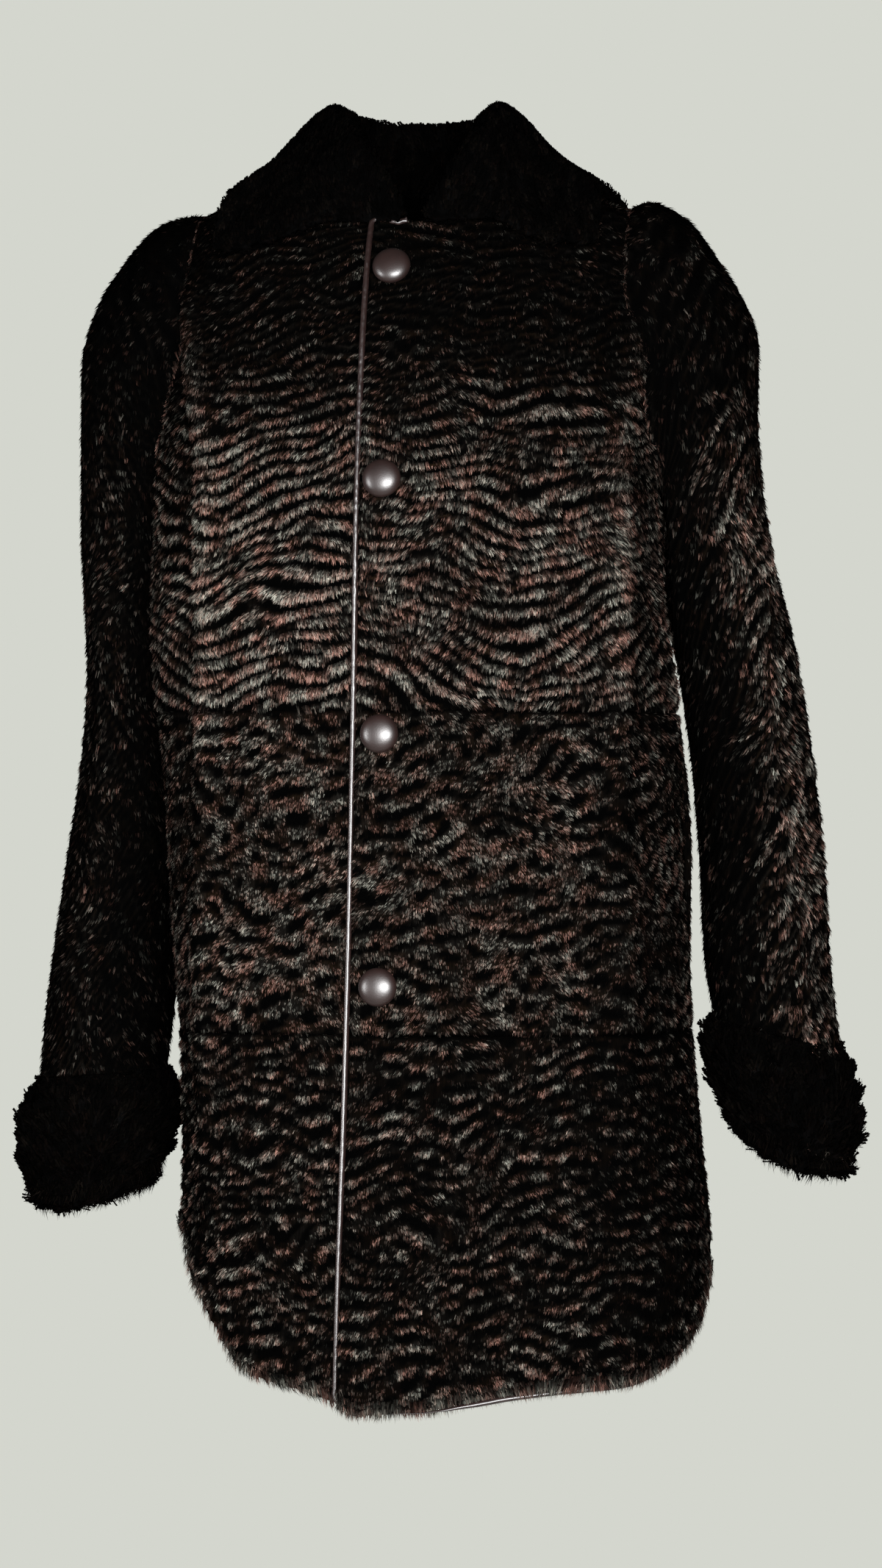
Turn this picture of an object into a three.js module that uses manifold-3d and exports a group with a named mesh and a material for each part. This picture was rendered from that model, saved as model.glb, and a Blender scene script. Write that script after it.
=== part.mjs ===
// Hip length shearling coat, buttoned, as worn and empty inside.
// Millimetres, +Z up, the front faces -Y and the wearer's left is +X.
// The origin is at the base of the neck, between the shoulders.
import * as THREE from 'three';
import Module from 'manifold-3d';

const wasm = await Module();
wasm.setup();

// Thickness of the pelt with its fur, and the gap between neighbouring pieces.
const WALL = 8;
const GAP = 0.3;

// Heights of the two joints across the body.
const UPPER_JOINT = -357;
const LOWER_JOINT = -573;

// The hem by angle round the body: the two fronts and the back.
const HEM_LEFT = [
  { a: -98, z: -825 },
  { a: -90, z: -822 },
  { a: -84, z: -816 },
  { a: -76, z: -811 },
  { a: -64, z: -807 },
  { a: -44, z: -804 },
  { a: -29, z: -795 },
  { a: -10, z: -770 },
  { a: -4, z: -750 },
  { a: 2, z: -732 },
];
const HEM_RIGHT = [
  { a: -168, z: -705 },
  { a: -158, z: -713 },
  { a: -146, z: -744 },
  { a: -135, z: -774 },
  { a: -125, z: -799 },
  { a: -106, z: -811 },
  { a: -98, z: -818 },
  { a: -70, z: -822 },
];
const HEM_BACK = [
  { a: 2, z: -733 },
  { a: 8, z: -755 },
  { a: 18, z: -781 },
  { a: 34, z: -803 },
  { a: 60, z: -812 },
  { a: 90, z: -815 },
  { a: 125, z: -812 },
  { a: 150, z: -796 },
  { a: 170, z: -762 },
  { a: 184, z: -720 },
  { a: 192, z: -705 },
];
const FRONT_CORNER = 16;

// Side and shoulder seams, as angles round the body.
const LEFT_SEAM = 2;
const RIGHT_SEAM = -168;

// Where the left front ends over the right one, and where the right one ends under it.
const UNDERLAP_EDGE = 24;
const OVERLAP_ENDS = 92;

// Outside of the body at each height: centre and half width across,
// centre and half depth from front to back.
const BODY = [
  { z: -840, cx: 21, w: 174, cy: -18, d: 149 },
  { z: -725, cx: 22, w: 181, cy: -18, d: 152 },
  { z: -635, cx: 17, w: 178, cy: -18, d: 151 },
  { z: -550, cx: 13, w: 176, cy: -19, d: 148 },
  { z: -400, cx: 6, w: 179, cy: -20, d: 142 },
  { z: -350, cx: 1, w: 179, cy: -20, d: 140 },
  { z: -250, cx: -6, w: 177, cy: -19, d: 138 },
  { z: -180, cx: -5, w: 176, cy: -16, d: 133 },
  { z: -120, cx: -3, w: 172, cy: -12, d: 124 },
  { z: -60, cx: -1, w: 168, cy: -8, d: 106 },
  { z: -30, cx: 0, w: 162, cy: -6, d: 90 },
  { z: -15, cx: 0, w: 155, cy: -5, d: 80 },
  { z: -5, cx: 0, w: 135, cy: -4, d: 74 },
  { z: 3, cx: -1, w: 99, cy: -4, d: 69 },
  { z: 9, cx: -2, w: 73, cy: -3, d: 65 },
  { z: 14, cx: -2, w: 62, cy: -3, d: 62 },
];

// Roundness of the body's section in front and behind: 2 is an ellipse.
const FRONT_ROUNDNESS = [
  { z: -840, p: 2.9 },
  { z: -600, p: 2.8 },
  { z: -400, p: 2.55 },
  { z: -200, p: 2.35 },
  { z: -60, p: 2.2 },
];
const BACK_ROUNDNESS = 2.05;

// Height of the neck edge by angle from the centre front.
const NECK = [
  { a: 0, z: -31 },
  { a: 10, z: -22 },
  { a: 20, z: -9 },
  { a: 35, z: 1 },
  { a: 60, z: 6 },
  { a: 90, z: 7 },
  { a: 130, z: 9 },
  { a: 180, z: 9 },
];

// Edge of the left front by height, at the middle of the chest and below.
const EDGE = [
  { z: -840, x: -28 },
  { z: -740, x: -25 },
  { z: -620, x: -21 },
  { z: -420, x: -17 },
  { z: -150, x: -15 },
  { z: 0, x: -16 },
];

// Sleeves from the armhole to the wrist. Each row is one ring: its outer or
// upper point, its inner or lower point, its centre in depth and half depth.
const RIGHT_SLEEVE = [
  { ox: 126, oz: -25, ix: 124, iz: -188, cy: -4, d: 58 },
  { ox: 154, oz: -8, ix: 138, iz: -193, cy: -3, d: 61 },
  { ox: 182, oz: -13, ix: 147, iz: -197, cy: 0, d: 63 },
  { ox: 209, oz: -36, ix: 153, iz: -202, cy: 5, d: 64 },
  { ox: 230, oz: -69, ix: 157, iz: -207, cy: 10, d: 63 },
  { ox: 243, oz: -108, ix: 159, iz: -216, cy: 16, d: 61 },
  { ox: 246, oz: -152, ix: 161, iz: -230, cy: 23, d: 59 },
  { ox: 249, oz: -200, ix: 162, iz: -252, cy: 31, d: 57 },
  { ox: 251, oz: -252, ix: 164, iz: -283, cy: 38, d: 55 },
  { ox: 251, oz: -312, ix: 167, iz: -326, cy: 45, d: 54 },
  { ox: 256, oz: -392, ix: 171, iz: -394, cy: 48, d: 53 },
  { ox: 266, oz: -480, ix: 177, iz: -480, cy: 44, d: 53 },
  { ox: 274, oz: -560, ix: 183, iz: -560, cy: 35, d: 53 },
  { ox: 278, oz: -625, ix: 189, iz: -617, cy: 27, d: 53 },
  { ox: 281, oz: -691, ix: 195, iz: -676, cy: 20, d: 51 },
];
const LEFT_SLEEVE = [
  { ox: 130, oz: -22, ix: 126, iz: -186, cy: -4, d: 58 },
  { ox: 160, oz: -4, ix: 140, iz: -190, cy: -3, d: 61 },
  { ox: 184, oz: -13, ix: 148, iz: -194, cy: 0, d: 63 },
  { ox: 204, oz: -37, ix: 153, iz: -198, cy: 5, d: 64 },
  { ox: 221, oz: -68, ix: 156, iz: -204, cy: 10, d: 63 },
  { ox: 231, oz: -108, ix: 156, iz: -213, cy: 16, d: 61 },
  { ox: 229, oz: -155, ix: 154, iz: -228, cy: 23, d: 59 },
  { ox: 232, oz: -205, ix: 156, iz: -252, cy: 31, d: 57 },
  { ox: 243, oz: -255, ix: 162, iz: -284, cy: 37, d: 55 },
  { ox: 257, oz: -315, ix: 172, iz: -328, cy: 42, d: 54 },
  { ox: 269, oz: -385, ix: 181, iz: -387, cy: 44, d: 53 },
  { ox: 277, oz: -460, ix: 188, iz: -460, cy: 40, d: 53 },
  { ox: 281, oz: -538, ix: 192, iz: -525, cy: 33, d: 53 },
  { ox: 288, oz: -601, ix: 202, iz: -576, cy: 26, d: 53 },
  { ox: 293, oz: -666, ix: 212, iz: -630, cy: 20, d: 51 },
];

// Below this height a sleeve hangs beside the body and is pressed flat by it.
const UNDERARM = -204;
const SLEEVE_CLEARANCE = 1.2;
const CUFF_CLEARANCE = 17;

// Turned back cuff: distance out from the sleeve, and height above its end.
const CUFF = [
  { out: GAP, up: 76 },
  { out: 5, up: 80 },
  { out: 10, up: 69 },
  { out: 14, up: 52 },
  { out: 15, up: 34 },
  { out: 12, up: 17 },
  { out: 6, up: 2 },
  { out: -1, up: -7 },
  { out: -WALL, up: -7 },
  { out: -WALL, up: -GAP },
  { out: GAP, up: -GAP },
];

// Collar, one row for each place round the neck, given for one side:
// angle of its seam from the centre front, fold point, outer edge on the body
// as angle and height, size of the folded section, sideways shift to the overlap.
const COLLAR = [
  { a: 4, fx: 8, fy: -98, fz: -19, ea: 4, ez: -37, size: 0.42, shift: 11 },
  { a: 10, fx: 22, fy: -87, fz: 6, ea: 17, ez: -36, size: 0.65, shift: 10 },
  { a: 22, fx: 40, fy: -66, fz: 36, ea: 26, ez: -42, size: 0.9, shift: 8 },
  { a: 36, fx: 46, fy: -44, fz: 49, ea: 37, ez: -46, size: 1, shift: 5 },
  { a: 54, fx: 55, fy: -22, fz: 57, ea: 48, ez: -44, size: 1, shift: 0 },
  { a: 72, fx: 58, fy: -6, fz: 59, ea: 55, ez: -13, size: 1, shift: -3 },
  { a: 90, fx: 58, fy: 10, fz: 59, ea: 81, ez: 0, size: 1, shift: -4 },
  { a: 106, fx: 56, fy: 27, fz: 58, ea: 112, ez: -5, size: 1, shift: -4 },
  { a: 122, fx: 50, fy: 43, fz: 57, ea: 132, ez: -32, size: 1, shift: -4 },
  { a: 150, fx: 28, fy: 65, fz: 55, ea: 158, ez: -52, size: 1, shift: -5 },
  { a: 180, fx: 0, fy: 74, fz: 54, ea: 180, ez: -58, size: 1, shift: -5 },
];
const COLLAR_HALF = 5.5;
const STAND_HALF = 3.8;
const COLLAR_STEPS = 10;

// Leather binding along the left front: width, and depth below the fur tips.
const BINDING_WIDTH = 4;
const BINDING_SINK = 0.8;
const BINDING_END = -1;

// Covered buttons: heights of their centres, and the dome's profile.
const BUTTON_HEIGHTS = [-62, -204, -373, -541];
const BUTTON_X = 0;
const BUTTON_PROFILE = [
  [0, 0], [11.6, 0], [12.8, 1.4], [12.6, 3.4], [10.8, 5.8], [6.6, 7.8], [0, 8.6],
];

const FUR = { color: 0x1c1715, roughness: 0.75, metalness: 0 };
const LONG_FUR = { color: 0x120f0e, roughness: 0.8, metalness: 0 };
const LEATHER = { color: 0x2b1712, roughness: 0.35, metalness: 0 };

const coat = new THREE.Group();
coat.name = 'shearling_coat';

const radians = THREE.MathUtils.degToRad;
const smooth = (a, b, value) => THREE.MathUtils.smoothstep(value, a, b);

// Reads a column of a table at a value of its first column, without overshoot.
function read(table, key, column, at) {
  const rising = table[table.length - 1][key] > table[0][key];
  const rows = rising ? table : [...table].reverse();
  const last = rows.length - 1;
  const value = THREE.MathUtils.clamp(at, rows[0][key], rows[last][key]);
  let i = 0;
  while (i < last - 1 && rows[i + 1][key] < value) i += 1;
  const slope = (k) => (rows[k + 1][column] - rows[k][column]) / (rows[k + 1][key] - rows[k][key]);
  const tangent = (k) => {
    if (k === 0) return slope(0);
    if (k === last) return slope(last - 1);
    const before = slope(k - 1);
    const after = slope(k);
    return before * after <= 0 ? 0 : (2 * before * after) / (before + after);
  };
  const span = rows[i + 1][key] - rows[i][key];
  const t = (value - rows[i][key]) / span;
  const t2 = t * t;
  const t3 = t2 * t;
  return rows[i][column] * (2 * t3 - 3 * t2 + 1) + tangent(i) * span * (t3 - 2 * t2 + t)
    + rows[i + 1][column] * (3 * t2 - 2 * t3) + tangent(i + 1) * span * (t3 - t2);
}

// Point on the outside of the body. The angle is in degrees: -90 is the
// front, 0 the wearer's left side, 90 the back and 180 the right side.
function bodySkin(angle, z) {
  const c = Math.cos(radians(angle));
  const s = Math.sin(radians(angle));
  const power = 2 / (s < 0 ? read(FRONT_ROUNDNESS, 'z', 'p', z) : BACK_ROUNDNESS);
  const x = read(BODY, 'z', 'cx', z) + read(BODY, 'z', 'w', z) * Math.sign(c) * Math.abs(c) ** power;
  const y = read(BODY, 'z', 'cy', z) + read(BODY, 'z', 'd', z) * Math.sign(s) * Math.abs(s) ** power;
  return new THREE.Vector3(x, y, z);
}

function bodyNormal(angle, z) {
  const top = Math.min(z + 1, BODY[BODY.length - 1].z);
  const across = bodySkin(angle + 0.6, z).sub(bodySkin(angle - 0.6, z));
  const up = bodySkin(angle, top).sub(bodySkin(angle, z - 1));
  return across.cross(up).normalize();
}

function bodyPoint(angle, z, lift) {
  return bodySkin(angle, z).addScaledVector(bodyNormal(angle, z), lift);
}

// Angle of the front's point with the given X at a height.
function frontAngle(x, z) {
  const share = (x - read(BODY, 'z', 'cx', z)) / read(BODY, 'z', 'w', z);
  const c = Math.sign(share) * Math.abs(share) ** (read(FRONT_ROUNDNESS, 'z', 'p', z) / 2);
  return -THREE.MathUtils.radToDeg(Math.acos(c));
}

// How far the left front stands out where it lies over the right one.
function overlapLift(angle, z) {
  const x = bodySkin(angle, z).x;
  return (WALL + GAP) * (1 - smooth(UNDERLAP_EDGE + 14, OVERLAP_ENDS, x));
}

const neckHeight = (angle) => read(NECK, 'a', 'z', Math.min(Math.abs(angle + 90), 270 - angle));

const hemHeight = (table) => (angle) => read(table, 'a', 'z', angle);

// The left front's hem, rounded up beside its free edge.
function leftHem(angle) {
  const z = read(HEM_LEFT, 'a', 'z', angle);
  const inside = Math.max(0, FRONT_CORNER - (bodySkin(angle, z).x - read(EDGE, 'z', 'x', z)));
  return z + FRONT_CORNER - Math.sqrt(FRONT_CORNER ** 2 - Math.min(inside, FRONT_CORNER) ** 2);
}

// Closed solid between two grids of points. A ring closes on itself.
function slab(outer, inner, ring) {
  const rows = outer.length;
  const columns = outer[0].length;
  const points = [...outer.flat(), ...inner.flat()];
  const triangles = [];
  const front = (r, c) => r * columns + (c % columns);
  const back = (r, c) => rows * columns + front(r, c);
  const quad = (a, b, c, d) => triangles.push(a, b, c, a, c, d);
  const steps = ring ? columns : columns - 1;
  for (let r = 0; r < rows - 1; r += 1) {
    for (let c = 0; c < steps; c += 1) {
      quad(front(r, c), front(r, c + 1), front(r + 1, c + 1), front(r + 1, c));
      quad(back(r, c + 1), back(r, c), back(r + 1, c), back(r + 1, c + 1));
    }
  }
  for (let c = 0; c < steps; c += 1) {
    quad(back(0, c), back(0, c + 1), front(0, c + 1), front(0, c));
    quad(front(rows - 1, c), front(rows - 1, c + 1), back(rows - 1, c + 1), back(rows - 1, c));
  }
  if (!ring) {
    const end = columns - 1;
    for (let r = 0; r < rows - 1; r += 1) {
      quad(back(r, 0), front(r, 0), front(r + 1, 0), back(r + 1, 0));
      quad(front(r, end), back(r, end), back(r + 1, end), front(r + 1, end));
    }
  }
  return solid(points, triangles);
}

// Closed solid from a row of closed sections with an even number of points.
function sweep(sections) {
  const sides = sections[0].length;
  const points = sections.flat();
  const triangles = [];
  for (let r = 0; r < sections.length - 1; r += 1) {
    for (let c = 0; c < sides; c += 1) {
      const a = r * sides + c;
      const b = r * sides + ((c + 1) % sides);
      triangles.push(a, b, b + sides, a, b + sides, a + sides);
    }
  }
  const last = points.length - sides;
  for (let c = 0; c < sides / 2 - 1; c += 1) {
    const far = sides - 1 - c;
    triangles.push(c, far - 1, c + 1, c, far, far - 1);
    triangles.push(last + c, last + c + 1, last + far - 1, last + c, last + far - 1, last + far);
  }
  return solid(points, triangles);
}

function solid(points, triangles) {
  const mesh = new wasm.Mesh({
    numProp: 3,
    vertProperties: new Float32Array(points.flatMap((p) => [p.x, p.y, p.z])),
    triVerts: new Uint32Array(triangles),
  });
  const made = new wasm.Manifold(mesh);
  if (made.volume() > 0) return made;
  const turned = [];
  for (let i = 0; i < triangles.length; i += 3) {
    turned.push(triangles[i], triangles[i + 2], triangles[i + 1]);
  }
  mesh.triVerts = new Uint32Array(turned);
  return new wasm.Manifold(mesh);
}

// Keeps the largest piece, without the slivers that a cut leaves.
function largest(manifold) {
  const pieces = manifold.simplify(0.02).decompose();
  return pieces.reduce((best, piece) => (piece.volume() > best.volume() ? piece : best));
}

function addPiece(name, manifold, look) {
  const mesh = manifold.getMesh();
  const geometry = new THREE.BufferGeometry();
  const stride = mesh.numProp;
  const positions = [];
  for (let i = 0; i < mesh.vertProperties.length; i += stride) {
    positions.push(...mesh.vertProperties.slice(i, i + 3));
  }
  geometry.setAttribute('position', new THREE.Float32BufferAttribute(positions, 3));
  geometry.setIndex([...mesh.triVerts]);
  geometry.computeVertexNormals();
  const piece = new THREE.Mesh(geometry, new THREE.MeshStandardMaterial(look));
  piece.name = name;
  coat.add(piece);
}

// One panel of the body between two edges and two heights. Grow makes it
// thicker and longer on all sides.
function bodyPanel(shape, grow = 0) {
  const { from, to, bottom, top, columns, rows, lift, spacing, stagger } = shape;
  const outer = [];
  const inner = [];
  for (let r = 0; r <= rows; r += 1) {
    const outerRow = [];
    const innerRow = [];
    const height = stagger ? stagger(r / rows) : r / rows;
    for (let c = 0; c <= columns; c += 1) {
      const share = spacing ? spacing(c / columns) : c / columns;
      let angle = from(-300) + (to(-300) - from(-300)) * share;
      let z = 0;
      for (let k = 0; k < 4; k += 1) {
        z = bottom(angle) - grow + (top(angle) - bottom(angle) + 2 * grow) * height;
        angle = from(z) - grow / 2 + (to(z) - from(z) + grow) * share;
      }
      const out = lift ? lift(angle, z) : 0;
      outerRow.push(bodyPoint(angle, z, out + grow));
      innerRow.push(bodyPoint(angle, z, out - WALL - grow));
    }
    outer.push(outerRow);
    inner.push(innerRow);
  }
  return slab(outer, inner, false);
}

// The inside of the body as one solid, to trim the sleeves with.
function bodyHollow() {
  const levels = 34;
  const sides = 48;
  const sections = [];
  for (let r = 0; r <= levels; r += 1) {
    const z = -400 + (400 + 4) * (1 - (1 - r / levels) ** 1.5);
    const section = [];
    for (let c = 0; c < sides; c += 1) {
      section.push(bodyPoint((360 * c) / sides - 90, z, -WALL));
    }
    sections.push(section);
  }
  return sweep(sections);
}

// Place where a level line leaves the body's side at a depth and height.
function bodySide(side, y, z) {
  const share = Math.min(1, Math.abs(y - read(BODY, 'z', 'cy', z)) / read(BODY, 'z', 'd', z));
  const ahead = y < read(BODY, 'z', 'cy', z);
  const power = ahead ? read(FRONT_ROUNDNESS, 'z', 'p', z) : BACK_ROUNDNESS;
  const half = read(BODY, 'z', 'w', z) * (1 - share ** power) ** (1 / power);
  return half + side * read(BODY, 'z', 'cx', z);
}

// Point on a sleeve ring. The ring number may fall between two rows.
function sleevePoint(table, side, ring, angle, lift) {
  const rows = table.map((row, i) => ({ ...row, i }));
  const value = (column) => read(rows, 'i', column, ring);
  const c = Math.cos(radians(angle));
  const s = Math.sin(radians(angle));
  const cx = (value('ox') + value('ix')) / 2;
  const cz = (value('oz') + value('iz')) / 2;
  const ax = (value('ox') - value('ix')) / 2;
  const az = (value('oz') - value('iz')) / 2;
  const half = Math.hypot(ax, az);
  const depth = value('d');
  const point = new THREE.Vector3(cx + ax * c, value('cy') + depth * s, cz + az * c);
  const pressed = 1 - smooth(UNDERARM - 22, UNDERARM + 12, point.z);
  const wrist = table[table.length - 1].oz;
  const room = SLEEVE_CLEARANCE + CUFF_CLEARANCE * (1 - smooth(wrist + 80, wrist + 130, point.z));
  const reach = bodySide(side, point.y, point.z) + room;
  if (pressed > 0 && c < 0 && point.x < reach) point.x += (reach - point.x) * pressed;
  const out = new THREE.Vector3(ax / half * c / half, s / depth, az / half * c / half).normalize();
  point.addScaledVector(out, lift);
  point.x *= side;
  return point;
}

function sleeveGrid(table, side, lift, from, to, rows, columns) {
  const grid = [];
  for (let r = 0; r <= rows; r += 1) {
    const ring = from + (to - from) * (r / rows);
    const row = [];
    for (let c = 0; c < columns; c += 1) {
      row.push(sleevePoint(table, side, ring, (360 * c) / columns, lift));
    }
    grid.push(row);
  }
  return grid;
}

const SLEEVES = [
  { name: 'left', side: 1, table: LEFT_SLEEVE },
  { name: 'right', side: -1, table: RIGHT_SLEEVE },
];
const hollow = bodyHollow();
const SLEEVE_ROWS = 19;
const SLEEVE_SIDES = 16;
const armholes = SLEEVES.map(({ side, table }) => (
  sweep(sleeveGrid(table, side, 1.5 * GAP, 0, table.length - 1, SLEEVE_ROWS, SLEEVE_SIDES))
));

// Body panels, from the left front round the back.
const SEAM = 0.12;
const seamAt = (angle) => () => angle;
const leftEdge = (z) => frontAngle(read(EDGE, 'z', 'x', z), z);
const rightEdge = (z) => frontAngle(UNDERLAP_EDGE, z);
const crowd = (share) => share ** 1.35;
const SIDES = [
  {
    name: 'front_left', from: leftEdge, to: seamAt(LEFT_SEAM - SEAM), columns: 17,
    lift: overlapLift, hem: leftHem, spacing: crowd,
  },
  {
    name: 'front_right', from: seamAt(RIGHT_SEAM + SEAM), to: rightEdge,
    columns: 15, hem: hemHeight(HEM_RIGHT),
  },
  {
    name: 'back', from: seamAt(LEFT_SEAM + SEAM), to: seamAt(RIGHT_SEAM + 360 - SEAM),
    columns: 18, hem: hemHeight(HEM_BACK),
  },
];
const upperPanels = [];
const frontPanels = [];
for (const side of SIDES) {
  const levels = [
    {
      part: 'upper', bottom: () => UPPER_JOINT + GAP / 2, top: neckHeight, rows: 13,
      stagger: (share) => 1 - (1 - share) ** 1.75,
    },
    { part: 'middle', bottom: () => LOWER_JOINT + GAP / 2, top: () => UPPER_JOINT - GAP / 2, rows: 5 },
    { part: 'lower', bottom: side.hem, top: () => LOWER_JOINT - GAP / 2, rows: 8 },
  ];
  for (const level of levels) {
    const shape = { ...side, ...level };
    let panel = bodyPanel(shape);
    if (side.name !== 'back') frontPanels.push(bodyPanel(shape, GAP + 0.1));
    if (level.part === 'upper') {
      upperPanels.push(bodyPanel(shape, GAP + 0.1));
      for (const armhole of armholes) panel = panel.subtract(armhole);
      panel = largest(panel);
    }
    addPiece(`${side.name}_${level.part}`, panel, FUR);
  }
}

// Sleeves, each a tube open at both ends and trimmed at the armhole.
for (const { name, side, table } of SLEEVES) {
  const last = table.length - 1;
  const outer = sleeveGrid(table, side, 0, 0, last, SLEEVE_ROWS, SLEEVE_SIDES);
  const inner = sleeveGrid(table, side, -WALL, 0, last, SLEEVE_ROWS, SLEEVE_SIDES);
  const sleeve = largest(slab(outer, inner, true).subtract(hollow));
  addPiece(`sleeve_${name}`, sleeve, FUR);
}

// Cuffs, each a closed band round the end of its sleeve.
for (const { name, side, table } of SLEEVES) {
  const last = table.length - 1;
  const length = table[last - 1].oz - table[last].oz;
  const sections = [];
  for (let c = 0; c < SLEEVE_SIDES; c += 1) {
    const angle = (360 * c) / SLEEVE_SIDES;
    const section = CUFF.map(({ out, up }) => {
      const point = sleevePoint(table, side, last - Math.max(0, up) / length, angle, out);
      point.z -= Math.max(0, -up);
      return point;
    });
    sections.push(section);
  }
  const outer = sleeveGrid(table, side, GAP, 0, last, SLEEVE_ROWS, SLEEVE_SIDES);
  const inner = sleeveGrid(table, side, -WALL - GAP, 0, last, SLEEVE_ROWS, SLEEVE_SIDES);
  const cuff = largest(ringOf(sections).subtract(slab(outer, inner, true)));
  addPiece(`cuff_${name}`, cuff, LONG_FUR);
}

// Closed ring from equal sections that follow each other round.
function ringOf(sections) {
  const sides = sections[0].length;
  const points = sections.flat();
  const triangles = [];
  for (let r = 0; r < sections.length; r += 1) {
    for (let c = 0; c < sides; c += 1) {
      const n = (r + 1) % sections.length;
      const a = r * sides + c;
      const b = r * sides + ((c + 1) % sides);
      const d = n * sides + c;
      const e = n * sides + ((c + 1) % sides);
      triangles.push(a, b, e, a, e, d);
    }
  }
  return solid(points, triangles);
}

// Middle line of the collar at one place, from its seam over the fold to its edge.
function collarLine(place) {
  const mirrored = place < 0;
  const at = Math.abs(place);
  const rows = COLLAR.map((row, i) => ({ ...row, i }));
  const value = (column) => read(rows, 'i', column, at);
  const sign = mirrored ? -1 : 1;
  const size = value('size');
  const turn = value('shift') * 0.35 * (1 - smooth(0, 4, at));
  const seam = -90 + sign * value('a') + turn;
  const edge = -90 + sign * value('ea') + turn;
  const neckAngle = mirrored ? wrap(seam) : seam;
  const neckZ = neckHeight(neckAngle);
  const overlap = Math.max(0, overlapLift(neckAngle, neckZ)) * (mirrored ? 0 : 1);
  const foot = bodyPoint(neckAngle, neckZ, overlap - WALL / 2);
  const rise = bodySkin(neckAngle, neckZ + 1).sub(bodySkin(neckAngle, neckZ - 1)).normalize();
  foot.addScaledVector(rise, GAP + 0.3);
  const fold = new THREE.Vector3(sign * value('fx') + value('shift'), value('fy'), value('fz'));
  const away = new THREE.Vector3(fold.x - 4, fold.y, 0).normalize();
  const stand = fold.clone().addScaledVector(away, -3 * size);
  stand.z -= 15 * size;
  const fall = fold.clone().addScaledVector(away, 11 * size);
  fall.z -= 6 * size;
  const end = bodyPoint(wrap(edge), value('ez'), COLLAR_HALF * size + 1 + overlap);
  const middle = fall.clone().lerp(end, 0.5);
  middle.z -= 5 * size;
  const curve = new THREE.CatmullRomCurve3([foot, stand, fold, fall, middle, end], false, 'centripetal');
  return { points: curve.getPoints(COLLAR_STEPS), size };
}

function wrap(angle) {
  return angle < -180 ? angle + 360 : angle;
}

// The collar is one folded sheet, thinner in the stand than in the fall.
function collar() {
  const last = COLLAR.length - 1;
  const places = [];
  for (let i = 0; i <= 2 * last; i += i < 3 || i >= 2 * last - 3 ? 0.5 : 1) places.push(i);
  const lines = places.map((place) => {
    const mirrored = place > last;
    const at = mirrored ? 2 * last - place : place;
    return collarLine(mirrored ? -at - 1e-6 : at);
  });
  const sections = lines.map((line, i) => {
    const before = lines[Math.max(0, i - 1)].points;
    const after = lines[Math.min(lines.length - 1, i + 1)].points;
    const upper = [];
    const under = [];
    line.points.forEach((point, k) => {
      const ahead = line.points[Math.min(COLLAR_STEPS, k + 1)];
      const behind = line.points[Math.max(0, k - 1)];
      const along = ahead.clone().sub(behind);
      const round = after[k].clone().sub(before[k]);
      const normal = round.cross(along).normalize();
      const full = smooth(0.15 * COLLAR_STEPS, 0.5 * COLLAR_STEPS, k);
      const thick = THREE.MathUtils.lerp(STAND_HALF, COLLAR_HALF, full) * line.size;
      const tip = k === COLLAR_STEPS ? 0.55 : 1;
      upper.push(point.clone().addScaledVector(normal, thick * tip));
      under.push(point.clone().addScaledVector(normal, -thick * tip));
    });
    return [...upper, ...under.reverse()];
  });
  return sweep(sections);
}

// Leather binding: along the top of the overlap, down the edge and along the hem.
function bindingPath() {
  const path = [];
  const topX = 7;
  const corner = 5;
  const put = (x, z) => {
    const angle = frontAngle(x, z);
    path.push({ angle, z });
  };
  const edgeX = (z) => read(EDGE, 'z', 'x', z);
  for (const share of [0, 0.35, 0.7]) {
    const x = topX + (edgeX(-35) + corner - topX) * share;
    put(x, neckHeight(frontAngle(x, -28)));
  }
  const cornerZ = neckHeight(leftEdge(-33));
  const low = HEM_LEFT[0].z;
  put(edgeX(-33) + 1, cornerZ);
  for (let k = 1; k <= 15; k += 1) {
    const z = cornerZ + (low + FRONT_CORNER - cornerZ) * (k / 15);
    path.push({ angle: leftEdge(z), z });
  }
  for (let k = 1; k <= 5; k += 1) {
    const turn = radians(18 * k);
    const x = edgeX(low) + FRONT_CORNER * (1 - Math.cos(turn));
    put(x, low + FRONT_CORNER * (1 - Math.sin(turn)));
  }
  const start = frontAngle(edgeX(low) + FRONT_CORNER, low);
  for (let k = 1; k <= 12; k += 1) {
    const angle = start + (BINDING_END - start) * (k / 12);
    path.push({ angle, z: leftHem(angle) });
  }
  return path;
}

function binding(path, lift, grow = 0) {
  const skin = path.map(({ angle, z }) => bodyPoint(angle, z, lift(angle, z)));
  const sections = path.map(({ angle, z }, i) => {
    const normal = bodyNormal(angle, z);
    const before = skin[Math.max(0, i - 1)];
    const after = skin[Math.min(skin.length - 1, i + 1)];
    const along = after.clone().sub(before).normalize();
    const out = normal.clone().cross(along).normalize().negate();
    const put = (side, depth) => skin[i].clone()
      .addScaledVector(out, side)
      .addScaledVector(normal, -depth);
    const near = GAP + 0.15 - grow;
    const far = near + BINDING_WIDTH + 2 * grow;
    const face = BINDING_SINK - grow;
    const depth = WALL + grow;
    return [
      put(near, face), put(far - 1.2, face), put(far, face + 1.4),
      put(far, depth - 1), put(far - 1, depth), put(near, depth),
    ];
  });
  return sweep(sections);
}

let edgeBinding = binding(bindingPath(), overlapLift);
for (const panel of frontPanels) edgeBinding = edgeBinding.subtract(panel);
addPiece('front_left_binding', largest(edgeBinding), LEATHER);

let collarSolid = collar().subtract(binding(bindingPath(), overlapLift, 2 * GAP));
for (const panel of upperPanels) collarSolid = collarSolid.subtract(panel);
addPiece('collar', largest(collarSolid), LONG_FUR);

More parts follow.
